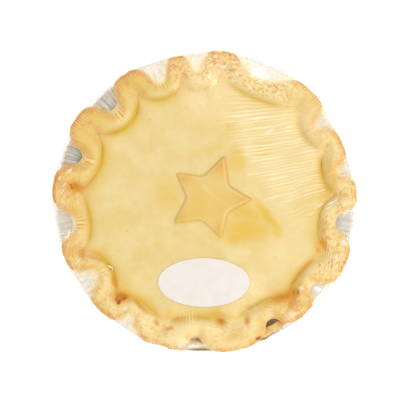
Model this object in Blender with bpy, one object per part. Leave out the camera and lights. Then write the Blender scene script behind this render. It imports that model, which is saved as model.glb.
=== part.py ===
"""Family-size steak pie in its foil tin, under clear film, one closed solid for each separate piece.

Units are metres and +Z is up. The tin stands on z = 0 with its centre at the origin.
Looking down on the pie, +Y is its far side and +X its right side. Angles run
anticlockwise from +X, in degrees.
"""
import math

import bmesh
import bpy
import numpy as np

MM = 0.001

# Clearance between separate pieces, and the extra room that flat facets need over a curve
GAP = 0.3 * MM
FACET_ROOM = 0.15 * MM

# Driving sizes of the foil tin
TIN_RIM_RADIUS = 111.5 * MM
TIN_BASE_RADIUS = 78.0 * MM
TIN_DEPTH = 32.0 * MM
TIN_SHEET = 0.5 * MM
TIN_PLEATS = 36
TIN_PLEAT_DEPTH = 0.35 * MM
TIN_WALL_FOOT_HEIGHT = 2.0 * MM
TIN_WALL_TOP_RADIUS = 97.5 * MM
TIN_WALL_TOP_HEIGHT = 28.0 * MM
TIN_RING_RADIUS = 63.0 * MM
TIN_RING_HALF_WIDTH = 3.0 * MM
TIN_RING_HEIGHT = 1.2 * MM

# Driving sizes of the pastry
LID_HEIGHT = 41.0 * MM
LID_FALL = 4.2 * MM
LID_FALL_RADIUS = 90.0 * MM
LID_WAVE = 0.45 * MM
CREASE_DROP = 1.2 * MM
RIM_WAVE = 0.5 * MM
CREST_HEIGHT = 44.6 * MM
POCKET_HEIGHT = 43.2 * MM
CREST_EDGE_HEIGHT = 40.0 * MM
POCKET_EDGE_HEIGHT = 38.0 * MM
CREST_UNDERCUT = 1.6 * MM
FLANK_LIFT = 1.6 * MM

# The hand-pressed flutes of the rim, anticlockwise: the angles of the crest's two flanks, its
# reach from the centre and its breadth, then the reach and breadth of the pocket that follows
# it. Reach and breadth are in millimetres.
FLUTES = (
    (-3.5, 10.5, 113.5, 15.0, 101.5, 11.0),
    (15.5, 31.5, 111.5, 14.0, 101.0, 11.0),
    (36.5, 56.5, 115.0, 15.5, 102.0, 15.0),
    (75.5, 91.0, 113.5, 17.0, 99.0, 14.5),
    (96.0, 106.5, 111.0, 18.5, 95.7, 12.0),
    (114.0, 130.0, 113.0, 17.0, 96.0, 14.0),
    (138.0, 156.5, 115.0, 19.0, 96.0, 12.5),
    (164.5, 183.5, 114.0, 18.5, 98.0, 10.5),
    (193.5, 209.5, 112.5, 14.0, 97.5, 11.5),
    (217.0, 234.5, 112.5, 16.5, 101.0, 12.0),
    (239.5, 263.0, 111.5, 13.5, 99.0, 13.0),
    (269.0, 295.5, 112.5, 19.0, 98.0, 12.5),
    (302.5, 319.0, 111.5, 18.0, 99.5, 10.5),
    (325.0, 347.0, 114.5, 18.5, 97.0, 10.5),
)

# Driving sizes of the pastry star
STAR_CENTRE = (3.5 * MM, 3.0 * MM)
STAR_TIP_RADIUS = 30.5 * MM
STAR_NOTCH_RADIUS = 17.8 * MM
STAR_TURN = -1.5
STAR_THICKNESS = 2.8 * MM
STAR_CORNER = 2.4 * MM

# Driving sizes of the clear film and of the label on it
FILM_SHEET = 0.4 * MM
FILM_LIFT = 0.6 * MM
FILM_CLEARANCE = 0.6 * MM
FILM_SAG = 0.5 * MM
TENT_HEIGHT = STAR_THICKNESS + 2 * GAP
TENT_SLOPE = 6.5 * MM
FILM_HEM_RADIUS = 84.5 * MM
FILM_HEM_HEIGHT = 3.0 * MM
LABEL_CENTRE = (-0.8 * MM, -59.6 * MM)
LABEL_HALF_SIZE = (34.3 * MM, 18.3 * MM)
LABEL_THICKNESS = 0.3 * MM

TIN_COLUMNS = 2 * TIN_PLEATS
LABEL_COLUMNS = 32


def angle_from(angle, start):
    """The angle's distance past the start, going anticlockwise, from 0 to 360."""
    return (angle - start) % 360.0


def flute_landmarks(number):
    """Angles of a crest's middle, the middle of the pocket after it and the next crest's middle."""
    begin, end = FLUTES[number][:2]
    next_begin, next_end = FLUTES[(number + 1) % len(FLUTES)][:2]
    following = begin + angle_from(next_begin, begin)
    return (begin + end) / 2, (end + following) / 2, following + (next_end - next_begin) / 2


def flute_plan(angle):
    """Reach of the rim and radius of its inner crease at an angle, with the shares of each form.

    The first share is 1 on a crest and 0 in a pocket. The second is 1 in the middle of a pocket,
    where the crease is deepest, and 0 in the middle of a crest, where it fades out.
    """
    for number, flute in enumerate(FLUTES):
        middle, pocket, next_middle = flute_landmarks(number)
        here = middle + angle_from(angle, middle)
        if here > next_middle:
            continue
        crest = flute if here <= pocket else FLUTES[(number + 1) % len(FLUTES)]
        crest_middle = middle if here <= pocket else next_middle
        crest_half = (crest[1] - crest[0]) / 2
        from_crest = abs(here - crest_middle)
        from_pocket = abs(here - pocket)
        if from_crest <= crest_half:
            crest_share = 1.0 - 0.5 * (from_crest / crest_half) ** 3.5
        else:
            crest_share = 0.5 * (from_pocket / (abs(crest_middle - pocket) - crest_half)) ** 2.5
        arc_share = max(1.0 - (from_pocket / abs(crest_middle - pocket)) ** 2, 0.0) ** 0.7
        pocket_reach, pocket_breadth = flute[4:]
        reach = pocket_reach + (crest[2] - pocket_reach) * crest_share
        crest_crease = crest[2] - crest[3]
        crease = crest_crease + (pocket_reach - pocket_breadth - crest_crease) * arc_share
        return reach * MM, crease * MM, crest_share, arc_share
    raise ValueError("no flute covers this angle")


def lid_height(x, y):
    """Height of the slightly domed, gently uneven lid."""
    fall = LID_FALL * (x * x + y * y) / LID_FALL_RADIUS**2
    wave = math.sin(x / (14.0 * MM) + 0.8) * math.sin(y / (17.0 * MM) - 0.5)
    return LID_HEIGHT - fall + LID_WAVE * wave


def at_angle(radius, angle):
    """Plan position of a point at this radius and angle."""
    turn = math.radians(angle)
    return radius * math.cos(turn), radius * math.sin(turn)


def offset_line(points, distance):
    """Shift a line of (radius, height) points to its left by the distance."""
    points = np.array(points, dtype=float)
    steps = np.diff(points, axis=0)
    normals = np.stack([-steps[:, 1], steps[:, 0]], axis=1)
    normals /= np.linalg.norm(normals, axis=1)[:, None]
    first = np.vstack([normals[:1], normals])
    last = np.vstack([normals, normals[-1:]])
    middle = first + last
    middle /= np.sum(middle * first, axis=1)[:, None]
    return points + middle * distance


def tin_line():
    """Middle of the tin's sheet from its centre out to the rolled rim, as (radius, height)."""
    floor = TIN_SHEET / 2
    flange = TIN_DEPTH + 0.4 * MM
    return [
        (TIN_RING_RADIUS - TIN_RING_HALF_WIDTH, floor),
        (TIN_RING_RADIUS, floor + TIN_RING_HEIGHT),
        (TIN_RING_RADIUS + TIN_RING_HALF_WIDTH, floor),
        (TIN_BASE_RADIUS, floor),
        (TIN_BASE_RADIUS + 2.8 * MM, TIN_WALL_FOOT_HEIGHT),
        (TIN_WALL_TOP_RADIUS, TIN_WALL_TOP_HEIGHT),
        (TIN_WALL_TOP_RADIUS + 2.0 * MM, TIN_WALL_TOP_HEIGHT + 2.6 * MM),
        (TIN_WALL_TOP_RADIUS + 5.5 * MM, flange),
        (TIN_RIM_RADIUS - 1.6 * MM, flange),
        (TIN_RIM_RADIUS - 0.3 * MM, flange - 0.9 * MM),
        (TIN_RIM_RADIUS - 0.9 * MM, flange - 2.2 * MM),
    ]


def seat_line(lift):
    """Where the pastry lies on the tin, from the flange down the wall to the base corner."""
    clearance = TIN_SHEET / 2 + TIN_PLEAT_DEPTH + GAP + FACET_ROOM
    inside = offset_line(tin_line(), clearance + lift)
    flange_outer, flange_inner, bend, wall_top, wall_foot = (inside[index] for index in (8, 7, 6, 5, 4))
    wall_middle = (wall_top + wall_foot) / 2
    return np.array([flange_outer, flange_inner, bend, wall_top, wall_middle, wall_foot])


def seat_points(foot_radius, lift):
    """Points down the seat line from this radius to the base corner, the same number for any radius."""
    line = seat_line(lift)
    steps = np.linalg.norm(np.diff(line, axis=0), axis=1)
    lengths = np.concatenate([[0.0], np.cumsum(steps)])
    distances = [float(np.interp(-foot_radius, -line[:, 0], lengths))]
    least_step = 0.9 * MM
    for fixed in lengths[1:]:
        distances.append(max(float(fixed), distances[-1] + least_step))
    radii = np.interp(distances, lengths, line[:, 0])
    heights = np.interp(distances, lengths, line[:, 1])
    return [(float(radius), float(height)) for radius, height in zip(radii, heights)]


def pie_section(angle):
    """The pastry's outline at an angle, from near the centre of the lid to the base corner."""
    reach, crease, crest_share, arc_share = flute_plan(angle)
    breadth = reach - crease
    section = []
    for fraction in (0.3, 0.58, 0.8, 0.95):
        radius = crease * fraction
        section.append((radius, lid_height(*at_angle(radius, angle))))
    crease_height = lid_height(*at_angle(crease, angle)) - CREASE_DROP * arc_share
    rim_wave = RIM_WAVE * math.sin(3.0 * math.radians(angle) + 0.7)
    top = POCKET_HEIGHT + (CREST_HEIGHT - RIM_WAVE + rim_wave - POCKET_HEIGHT) * crest_share
    edge = POCKET_EDGE_HEIGHT + (CREST_EDGE_HEIGHT - POCKET_EDGE_HEIGHT) * crest_share
    lean = 0.85 + 0.3 * (1.0 - arc_share)
    for along in (0.0, 0.12, 0.3, 0.52, 0.76, 0.92, 1.0):
        base = crease_height + (edge - crease_height) * along
        swell = math.sin(math.pi * along**lean) ** 0.62 if 0.0 < along < 1.0 else 0.0
        section.append((crease + breadth * along, base + (top - (crease_height + edge) / 2) * swell))
    lift = FLANK_LIFT * 4.0 * crest_share * (1.0 - crest_share)
    seated = seat_points(reach - CREST_UNDERCUT * crest_share, lift)
    section.append((reach - 0.3 * MM, edge + (seated[0][1] - edge) * 0.5))
    return section + seated


def pie_angles():
    """Angles of the pastry's sections, closest together on the steep flanks of the flutes."""
    angles = []
    for number, flute in enumerate(FLUTES):
        middle, pocket, _ = flute_landmarks(number)
        crest_half = (flute[1] - flute[0]) / 2
        pocket_half = pocket - middle - crest_half
        angles.extend(middle + crest_half * share for share in (-1.0, -0.82, -0.5, 0.0, 0.5, 0.82, 1.0))
        angles.extend(pocket + pocket_half * share for share in (-0.75, -0.4, 0.0, 0.4, 0.75))
    return angles


def tube_mesh(rings):
    """Mesh of rings of points, each joined to the next, and the rings of vertices it made."""
    mesh = bmesh.new()
    made = [[mesh.verts.new(point) for point in ring] for ring in rings]
    for lower, upper in zip(made, made[1:]):
        count = len(lower)
        for index in range(count):
            after = (index + 1) % count
            mesh.faces.new((lower[index], lower[after], upper[after], upper[index]))
    return mesh, made


def close_with_fan(mesh, ring, centre):
    """Close a ring of vertices with triangles that meet at a centre point."""
    middle = mesh.verts.new(centre)
    for index, vertex in enumerate(ring):
        mesh.faces.new((vertex, ring[(index + 1) % len(ring)], middle))


def finish_object(name, mesh, material, location=(0.0, 0.0, 0.0)):
    """Turn the mesh into a named object at its location, with faces pointing out and soft shading."""
    bmesh.ops.recalc_face_normals(mesh, faces=mesh.faces)
    bmesh.ops.translate(mesh, verts=mesh.verts, vec=[-part for part in location])
    data = bpy.data.meshes.new(name)
    mesh.to_mesh(data)
    mesh.free()
    data.shade_smooth()
    data.set_sharp_from_angle(angle=math.radians(50.0))
    data.materials.append(material)
    made = bpy.data.objects.new(name, data)
    made.location = location
    bpy.context.scene.collection.objects.link(made)
    return made


def plain_material(name, colour, roughness, metallic=0.0, alpha=1.0):
    """Principled material with one colour."""
    material = bpy.data.materials.new(name)
    material.use_nodes = True
    shader = material.node_tree.nodes["Principled BSDF"]
    shader.inputs["Base Color"].default_value = (*colour, 1.0)
    shader.inputs["Roughness"].default_value = roughness
    shader.inputs["Metallic"].default_value = metallic
    shader.inputs["Alpha"].default_value = alpha
    return material


def make_pie():
    """Pastry case, filling and lid as one solid, with its fluted rim lying on the tin's flange."""
    angles = pie_angles()
    sections = [pie_section(angle) for angle in angles]
    rings = []
    for row in range(len(sections[0])):
        ring = []
        for angle, section in zip(angles, sections):
            radius, height = section[row]
            ring.append((*at_angle(radius, angle), height))
        rings.append(ring)
    mesh, made = tube_mesh(rings)
    close_with_fan(mesh, made[0], (0.0, 0.0, lid_height(0.0, 0.0)))
    close_with_fan(mesh, made[-1], (0.0, 0.0, rings[-1][0][2]))
    return finish_object("pie", mesh, plain_material("baked_pastry", (0.86, 0.64, 0.30), 0.55))


def rounded_corner(before, corner, after, radius, count):
    """Points of an arc that rounds off a corner between two straight sides."""
    towards_before = (before - corner) / np.linalg.norm(before - corner)
    towards_after = (after - corner) / np.linalg.norm(after - corner)
    half = math.acos(float(np.dot(towards_before, towards_after))) / 2
    bisector = towards_before + towards_after
    bisector /= np.linalg.norm(bisector)
    centre = corner + bisector * radius / math.sin(half)
    start = corner + towards_before * radius / math.tan(half) - centre
    end = corner + towards_after * radius / math.tan(half) - centre
    sweep = math.pi - 2 * half
    points = []
    for index in range(count):
        share = index / (count - 1)
        mixed = (start * math.sin((1 - share) * sweep) + end * math.sin(share * sweep)) / math.sin(sweep)
        points.append(centre + mixed)
    return points


def star_outline():
    """Outline of the five-pointed star about its centre, with rounded tips and notches."""
    corners = []
    for index in range(10):
        radius = STAR_TIP_RADIUS + 1.6 * MM if index % 2 == 0 else STAR_NOTCH_RADIUS - 0.6 * MM
        corners.append(np.array(at_angle(radius, STAR_TURN + 36.0 * index)))
    outline = []
    for index, corner in enumerate(corners):
        before, after = corners[index - 1], corners[(index + 1) % 10]
        count = 5 if index % 2 == 0 else 3
        arc = rounded_corner(before, corner, after, STAR_CORNER, count)
        following = rounded_corner(corner, after, corners[(index + 2) % 10], STAR_CORNER, 3)
        outline.extend(arc)
        outline.append((arc[-1] + following[0]) / 2)
    return outline


def make_star():
    """Pastry star with soft edges, lying on the lid."""
    outline = star_outline()
    levels = (
        (0.965, 0.0),
        (1.0, 0.42),
        (0.985, 0.78),
        (0.94, 0.95),
        (0.55, 1.0),
    )
    underside = GAP + FACET_ROOM
    rings = []
    for scale, share in levels:
        ring = []
        for point in outline:
            x = STAR_CENTRE[0] + point[0] * scale
            y = STAR_CENTRE[1] + point[1] * scale
            ring.append((x, y, lid_height(x, y) + underside + STAR_THICKNESS * share))
        rings.append(ring)
    mesh, made = tube_mesh(rings)
    middle = lid_height(*STAR_CENTRE) + underside
    close_with_fan(mesh, made[0], (*STAR_CENTRE, middle))
    close_with_fan(mesh, made[-1], (*STAR_CENTRE, middle + STAR_THICKNESS))
    material = plain_material("golden_pastry", (0.84, 0.55, 0.18), 0.5)
    return finish_object("star", mesh, material, (*STAR_CENTRE, middle))


def make_tin():
    """Pressed foil tin: flat base with a stiffening ring, pleated wall, flange and rolled rim."""
    line = tin_line()
    top = offset_line(line, TIN_SHEET / 2)
    under = offset_line(line, -TIN_SHEET / 2)
    wall_rows = (4, 5, 6)
    rows = [(under, index) for index in range(len(line))]
    rows += [(top, index) for index in reversed(range(len(line)))]
    rings = []
    for side, index in rows:
        ring = []
        for column in range(TIN_COLUMNS):
            radius, height = side[index]
            if index in wall_rows:
                radius += TIN_PLEAT_DEPTH * (1 if column % 2 == 0 else -1)
            ring.append((*at_angle(radius, 360.0 * column / TIN_COLUMNS), height))
        rings.append(ring)
    mesh, made = tube_mesh(rings)
    close_with_fan(mesh, made[0], (0.0, 0.0, 0.0))
    close_with_fan(mesh, made[-1], (0.0, 0.0, TIN_SHEET))
    return finish_object("tin", mesh, plain_material("pressed_foil", (0.72, 0.70, 0.66), 0.3, 1.0))


def film_columns():
    """Angles of the film's sections, each with its reach and how far it dips, 0 or 1.

    The film is tight over the crests and runs almost straight from one to the next.
    """
    columns = []
    for number, flute in enumerate(FLUTES):
        middle, pocket, _ = flute_landmarks(number)
        spread = 0.3 * (flute[1] - flute[0])
        facet_room = flute[2] * (1.0 - math.cos(math.radians(spread) / 2))
        crest_reach = (flute[2] + facet_room) * MM + FILM_CLEARANCE
        next_reach = FLUTES[(number + 1) % len(FLUTES)][2]
        pocket_reach = (flute[2] + next_reach) / 2 * MM - FILM_SAG + FILM_CLEARANCE
        columns.extend((middle + turn, crest_reach, 0.0) for turn in (-spread, 0.0, spread))
        columns.append((pocket, pocket_reach, 1.0))
    return columns


def star_tent_radius(angle):
    """Radius round the pie's centre that the film still covers at the height of the star."""
    turn = math.radians(angle)
    towards = STAR_CENTRE[0] * math.cos(turn) + STAR_CENTRE[1] * math.sin(turn)
    return STAR_TIP_RADIUS + towards + 1.0 * MM


def film_section(angle, reach, dip):
    """Inner side of the film at an angle, from near the centre to its hem beside the tin's base."""
    tent = star_tent_radius(angle)
    _, crease, _, arc_share = flute_plan(angle)
    crease -= 4.5 * MM * (1.0 - arc_share)
    rim_height = CREST_HEIGHT + FILM_CLEARANCE - 0.4 * MM * dip
    section = []
    tent_foot = tent + TENT_SLOPE
    lid_end = crease - 3.0 * MM
    flat_middle = (tent_foot + lid_end) / 2
    for radius, extra in (
        (tent * 0.5, TENT_HEIGHT),
        (tent, TENT_HEIGHT),
        (tent_foot, 0.0),
        (flat_middle, 0.0),
        (lid_end, 0.0),
    ):
        section.append((radius, lid_height(*at_angle(radius, angle)) + FILM_LIFT + extra))
    section.append((crease + 2.5 * MM, rim_height - 0.2 * MM))
    section.append((reach - 3.2 * MM, rim_height - 0.3 * MM - 0.9 * MM * dip))
    section.append((reach - 0.5 * MM, CREST_EDGE_HEIGHT + 2.6 * MM - 2.0 * MM * dip))
    section.append((reach, CREST_EDGE_HEIGHT - 3.0 * MM - 1.0 * MM * dip))
    section.append((TIN_RIM_RADIUS + GAP + 0.9 * MM, TIN_DEPTH - 0.8 * MM))
    section.append((FILM_HEM_RADIUS, FILM_HEM_HEIGHT))
    return section


def make_film():
    """Clear film drawn tight over the pie and down to the foot of the tin, open underneath."""
    columns = film_columns()
    inner = [film_section(*column) for column in columns]
    outer = [offset_line(section, FILM_SHEET) for section in inner]
    rows = [(inner, index) for index in range(len(inner[0]))]
    rows += [(outer, index) for index in reversed(range(len(inner[0])))]
    rings = []
    for side, index in rows:
        ring = []
        for section, column in zip(side, columns):
            radius, height = section[index]
            ring.append((*at_angle(radius, column[0]), height))
        rings.append(ring)
    mesh, made = tube_mesh(rings)
    centre = lid_height(0.0, 0.0) + FILM_LIFT + TENT_HEIGHT
    close_with_fan(mesh, made[0], (0.0, 0.0, centre))
    close_with_fan(mesh, made[-1], (0.0, 0.0, centre + FILM_SHEET))
    return finish_object("film", mesh, plain_material("clear_film", (0.95, 0.95, 0.95), 0.08, alpha=0.2))


def make_label():
    """Oval paper label stuck to the film below the star."""
    underside = FILM_LIFT + FILM_SHEET + GAP + FACET_ROOM
    levels = ((0.5, 0.0), (1.0, 0.0), (1.0, LABEL_THICKNESS), (0.5, LABEL_THICKNESS))
    rings = []
    for scale, lift in levels:
        ring = []
        for column in range(LABEL_COLUMNS):
            turn = 2 * math.pi * column / LABEL_COLUMNS
            x = LABEL_CENTRE[0] + LABEL_HALF_SIZE[0] * math.cos(turn) * scale
            y = LABEL_CENTRE[1] + LABEL_HALF_SIZE[1] * math.sin(turn) * scale
            ring.append((x, y, lid_height(x, y) + underside + lift))
        rings.append(ring)
    mesh, made = tube_mesh(rings)
    middle = lid_height(*LABEL_CENTRE) + underside
    close_with_fan(mesh, made[0], (*LABEL_CENTRE, middle))
    close_with_fan(mesh, made[-1], (*LABEL_CENTRE, middle + LABEL_THICKNESS))
    material = plain_material("label_paper", (0.92, 0.87, 0.81), 0.5)
    return finish_object("label", mesh, material, (*LABEL_CENTRE, middle))


for old in list(bpy.data.objects):
    bpy.data.objects.remove(old, do_unlink=True)

make_pie()
make_star()
make_tin()
make_film()
make_label()
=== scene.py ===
"""Looks of the family steak pie: foil tin, fluted pastry, pastry star, clear film and bare label.

The model's frame is in metres, +Z up, with the tin standing on z = 0. Forms are worked out here
in millimetres and turned into metres when a piece is made. Angles run anticlockwise from +X.
"""
import math

import bpy
import numpy as np
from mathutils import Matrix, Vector


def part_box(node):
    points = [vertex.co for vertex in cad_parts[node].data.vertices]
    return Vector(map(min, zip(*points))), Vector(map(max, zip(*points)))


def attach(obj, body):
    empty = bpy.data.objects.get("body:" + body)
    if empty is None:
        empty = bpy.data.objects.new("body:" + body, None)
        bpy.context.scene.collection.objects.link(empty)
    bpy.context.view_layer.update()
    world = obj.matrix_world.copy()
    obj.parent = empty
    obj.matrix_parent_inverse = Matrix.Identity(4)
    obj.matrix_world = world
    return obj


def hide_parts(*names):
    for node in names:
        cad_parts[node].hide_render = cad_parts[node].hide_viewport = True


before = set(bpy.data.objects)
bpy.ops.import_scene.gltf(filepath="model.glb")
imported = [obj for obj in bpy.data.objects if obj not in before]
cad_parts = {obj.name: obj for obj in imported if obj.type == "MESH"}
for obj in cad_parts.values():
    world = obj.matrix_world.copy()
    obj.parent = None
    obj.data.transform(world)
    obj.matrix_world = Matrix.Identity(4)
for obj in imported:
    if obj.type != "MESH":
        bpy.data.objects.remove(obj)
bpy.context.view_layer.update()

# Foil tin
# A family pie tin is pressed from thin aluminium foil. The wall and flange keep the fine uneven
# pleats of the pressing, the rim is curled into a bead, and rings stiffen the flat base.
MM = 0.001
TIN_RIM_RADIUS = 111.5
TIN_BASE_RADIUS = 78.0
TIN_FLANGE_HEIGHT = 32.4
TIN_WALL_TOP = (94.5, 28.0)
TIN_SHEET = 0.24
TIN_FOOT_BEND = (2.6, 2.2)
TIN_THROAT = (2.2, 3.0)
TIN_FLANGE_START = 5.5
TIN_BEAD_RADIUS = 1.05
TIN_BEAD_TURNS = range(64, -171, -26)
TIN_RINGS = (34.0, 63.0)
TIN_RING_HALF_WIDTH = 2.6
TIN_RING_HEIGHT = 1.1
TIN_FIRST_RADIUS = 8.0
TIN_PLAIN_RADIUS = 50.0
TIN_COLUMNS = 768
TIN_ROW_STEP = 1.25
TIN_PLEATS = 190
TIN_PLEAT_DEPTH = 0.75
TIN_DENT_DEPTH = 0.5
TIN_KNOCKED_ANGLE = 294.0
TIN_KNOCK_WIDTH = 1.6
TIN_KNOCK_DEPTH = 0.9
NOISE_RADIUS = 100.0
NOISE_TABLE_SIZE = 256
PATCH_EDGE_CELL = 5.0
PATCH_EDGE_POWER = 2.6
FOIL_CREASE_DEPTH = 0.25

# Tones of the foil where shade is painted on, where the oven tinted it, and of the dark spots: painted shadow
# and reflection with some gravy burnt on
FOIL_TONES = {"painted_shade": (118, 112, 100), "toast": (176, 140, 88), "burnt_and_shade": (136, 98, 38)}

# Sides of the flange that the oven has tinted: middle angle and spread in degrees, the strength
# from 0 to 1, and the radii between which the tint comes in
TOASTED_SIDES = (
    (280.0, 22.0, 0.75, 104.0, 110.5),
    (155.0, 25.0, 0.375, 104.0, 110.5),
    (228.0, 24.0, 0.35, 96.0, 103.0),
)

# Shade is painted on the flange beside the pie, most of all on one side: that side's angle and spread,
# the share everywhere and the share added there, and the radii between which it comes and goes
SHADED_SIDE = (158.0, 16.0)
SHADED_SHARES = (0.4, 0.35)
SHADE_COMES = (88.0, 93.0)
SHADE_GOES = (106.0, 97.0)

# Painted shade in the valleys of the pleats: its share and the radii between which it comes in
VALLEY_SHADE = 0.7
VALLEY_RADII = (84.0, 92.0)

# Dark spots on the flange and the bead, painted shadow in the holes under the rim and painted dark
# reflection along the bead with some gravy burnt on: centre, half length and half width in
# millimetres, the tilt in degrees and the strength from 0 to 1
BURNT_AND_SHADE_SPOTS = (
    (48.5, -89.6, 9.0, 5.0, 36.0, 1.00),
    (-2.6, -100.8, 4.6, 2.8, 0.0, 0.55),
    (-3.0, -111.0, 14.0, 2.4, 2.0, 1.00),
    (43.5, -103.0, 12.5, 1.6, 27.0, 1.00),
)


def between_four(table, rows, columns, up, across):
    """Values between the points of a table, from the four points round each place."""
    near = table[rows[0], columns[0]] * (1.0 - across) + table[rows[0], columns[1]] * across
    far = table[rows[1], columns[0]] * (1.0 - across) + table[rows[1], columns[1]] * across
    return near * (1.0 - up) + far * up


def smooth_noise(x, y, cell, seed):
    """Soft random hills and hollows from -1 to 1, about one cell across."""
    table = np.random.default_rng(seed).uniform(-1.0, 1.0, (NOISE_TABLE_SIZE, NOISE_TABLE_SIZE))
    across, up = np.asarray(x) / cell, np.asarray(y) / cell
    column, row = np.floor(across).astype(int), np.floor(up).astype(int)
    across, up = across - column, up - row
    across, up = across**2 * (3.0 - 2.0 * across), up**2 * (3.0 - 2.0 * up)
    rows, columns = [(first % NOISE_TABLE_SIZE, (first + 1) % NOISE_TABLE_SIZE) for first in (row, column)]
    return between_four(table, rows, columns, up, across)


def layered_noise(x, y, cell, seed):
    """Noise with noise half as large and half as strong on top of it."""
    return smooth_noise(x, y, cell, seed) + smooth_noise(x, y, cell / 2, seed + 1) / 2


def fade(value, start, end):
    """Smooth step from 0 at the start to 1 at the end, which may lie below the start."""
    share = np.clip((value - start) / (end - start), 0.0, 1.0)
    return share * share * (3.0 - 2.0 * share)


def hump(distance, width, power=2):
    """1 where the distance is 0, falling softly to 0 beyond the width."""
    return np.exp(-((distance / width) ** power))


def turn_from(angle, middle):
    """The angle's turn from a middle, from -180 to 180 degrees."""
    return (angle - middle + 180.0) % 360.0 - 180.0


def ring_angles(count):
    """Angles of the points round a ring, in degrees."""
    return 360.0 * np.arange(count) / count


def plan_points(radii, angles):
    """Plan positions at these radii and angles."""
    turn = np.radians(angles)
    return np.stack([radii * np.cos(turn), radii * np.sin(turn)], axis=-1)


def ring_points(radius, height, count):
    """Points of one ring, whose radius and height may change from point to point."""
    return np.column_stack([plan_points(radius, ring_angles(count)), np.broadcast_to(height, (count,))])


def faces_between(first, count, following, following_count):
    """Faces from one ring to the next, which has as many points, twice as many or half as many."""
    here = np.arange(min(count, following_count))
    after = (here + 1) % len(here)
    middle, end = 2 * here + 1, (2 * here + 2) % (2 * len(here))
    if count == following_count:
        shapes = ((first + here, following + here, following + after, first + after),)
    elif count < following_count:
        shapes = (
            (first + here, following + 2 * here, following + middle),
            (first + here, following + middle, first + after),
            (first + after, following + middle, following + end),
        )
    else:
        shapes = (
            (first + 2 * here, following + here, first + middle),
            (first + middle, following + here, following + after),
            (first + middle, following + after, first + end),
        )
    return [face for corners in shapes for face in np.stack(corners, axis=1).tolist()]


def add_rings(name, rings, material, masks=None, closed=(True, True)):
    """Make a piece from rings of points in millimetres, with a fan in its first and last ring."""
    starts = np.concatenate([[0], np.cumsum([len(ring) for ring in rings])])
    points = np.concatenate(rings)
    faces = []
    for number in range(len(rings) - 1):
        count, following_count = len(rings[number]), len(rings[number + 1])
        faces += faces_between(starts[number], count, starts[number + 1], following_count)
    masks = dict(masks or {})
    for wanted, number, last in ((closed[0], 0, False), (closed[1], len(rings) - 1, True)):
        if not wanted:
            continue
        centre, count = len(points), len(rings[number])
        points = np.vstack([points, rings[number].mean(axis=0)])
        for mask in masks:
            masks[mask] = np.append(masks[mask], masks[mask][starts[number]])
        for index in range(count):
            here, after = starts[number] + index, starts[number] + (index + 1) % count
            faces.append((here, centre, after) if last else (centre, here, after))
    return add_mesh(name, points, faces, material, masks)


def add_mesh(name, points, faces, material, masks=None):
    """Make a piece from points in millimetres, with its masks stored at the points."""
    mesh = bpy.data.meshes.new(name)
    mesh.from_pydata((np.asarray(points) * MM).tolist(), [], faces)
    mesh.shade_smooth()
    mesh.materials.append(material)
    for mask, values in (masks or {}).items():
        stored = mesh.attributes.new(mask, "FLOAT", "POINT")
        stored.data.foreach_set("value", np.asarray(values, dtype=np.float32))
    piece = bpy.data.objects.new(name, mesh)
    bpy.context.scene.collection.objects.link(piece)
    return piece


def round_off(points, times):
    """Cut the corners of an open line again and again, which turns them into soft bends."""
    points = np.asarray(points, dtype=float)
    for _ in range(times):
        early = points[:-1] * 0.75 + points[1:] * 0.25
        late = points[:-1] * 0.25 + points[1:] * 0.75
        cut = np.stack([early, late], axis=1).reshape(-1, points.shape[1])
        points = np.vstack([points[:1], cut[1:-1], points[-1:]])
    return points


def spaced_out(points, spacing):
    """Evenly spaced points along a line."""
    lengths = np.concatenate([[0.0], np.cumsum(np.linalg.norm(np.diff(points, axis=0), axis=1))])
    wanted = np.linspace(0.0, lengths[-1], max(int(round(lengths[-1] / spacing)), 1) + 1)
    return np.stack([np.interp(wanted, lengths, points[:, axis]) for axis in range(points.shape[1])], axis=1)


def shifted_line(points, distance):
    """A (radius, height) line moved to its left by the distance."""
    direction = np.gradient(points, axis=0)
    direction /= np.linalg.norm(direction, axis=1)[:, None]
    return points + np.stack([-direction[:, 1], direction[:, 0]], axis=1) * distance


def pleat_wave(angles, count, seed):
    """Uneven folds round a ring, from -1 to 1: each pleat rises to a sharp ridge and falls again."""
    random = np.random.default_rng(seed)
    widths = random.uniform(0.45, 1.55, count)
    edges = np.concatenate([[0.0], np.cumsum(widths)]) * 360.0 / widths.sum()
    heights = random.uniform(0.4, 1.0, count)
    ridges = random.uniform(0.3, 0.7, count)
    pleat = np.clip(np.searchsorted(edges, angles % 360.0, side="right") - 1, 0, count - 1)
    along = (angles % 360.0 - edges[pleat]) / (edges[pleat + 1] - edges[pleat])
    rise = np.minimum(along / ridges[pleat], (1.0 - along) / (1.0 - ridges[pleat]))
    return (2.0 * rise - 1.0) * heights[pleat]


def turned(x, y, centre_x, centre_y, tilt):
    """Distances from a centre along a tilted line and across it."""
    cosine, sine = math.cos(math.radians(tilt)), math.sin(math.radians(tilt))
    along = (x - centre_x) * cosine + (y - centre_y) * sine
    return along, (y - centre_y) * cosine - (x - centre_x) * sine


def patch_share(x, y, patches, wander=1.2):
    """How much of the patches lies at these plan positions, with soft uneven edges."""
    x = x + wander * layered_noise(x, y, PATCH_EDGE_CELL, 41)
    y = y + wander * layered_noise(x, y, PATCH_EDGE_CELL, 43)
    total = np.zeros_like(x)
    for centre_x, centre_y, half_length, half_width, tilt, strength in patches:
        along, across = turned(x, y, centre_x, centre_y, tilt)
        distance = np.hypot(along / half_length, across / half_width)
        total = np.maximum(total, strength * hump(distance, 1.0, PATCH_EDGE_POWER))
    return total


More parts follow.
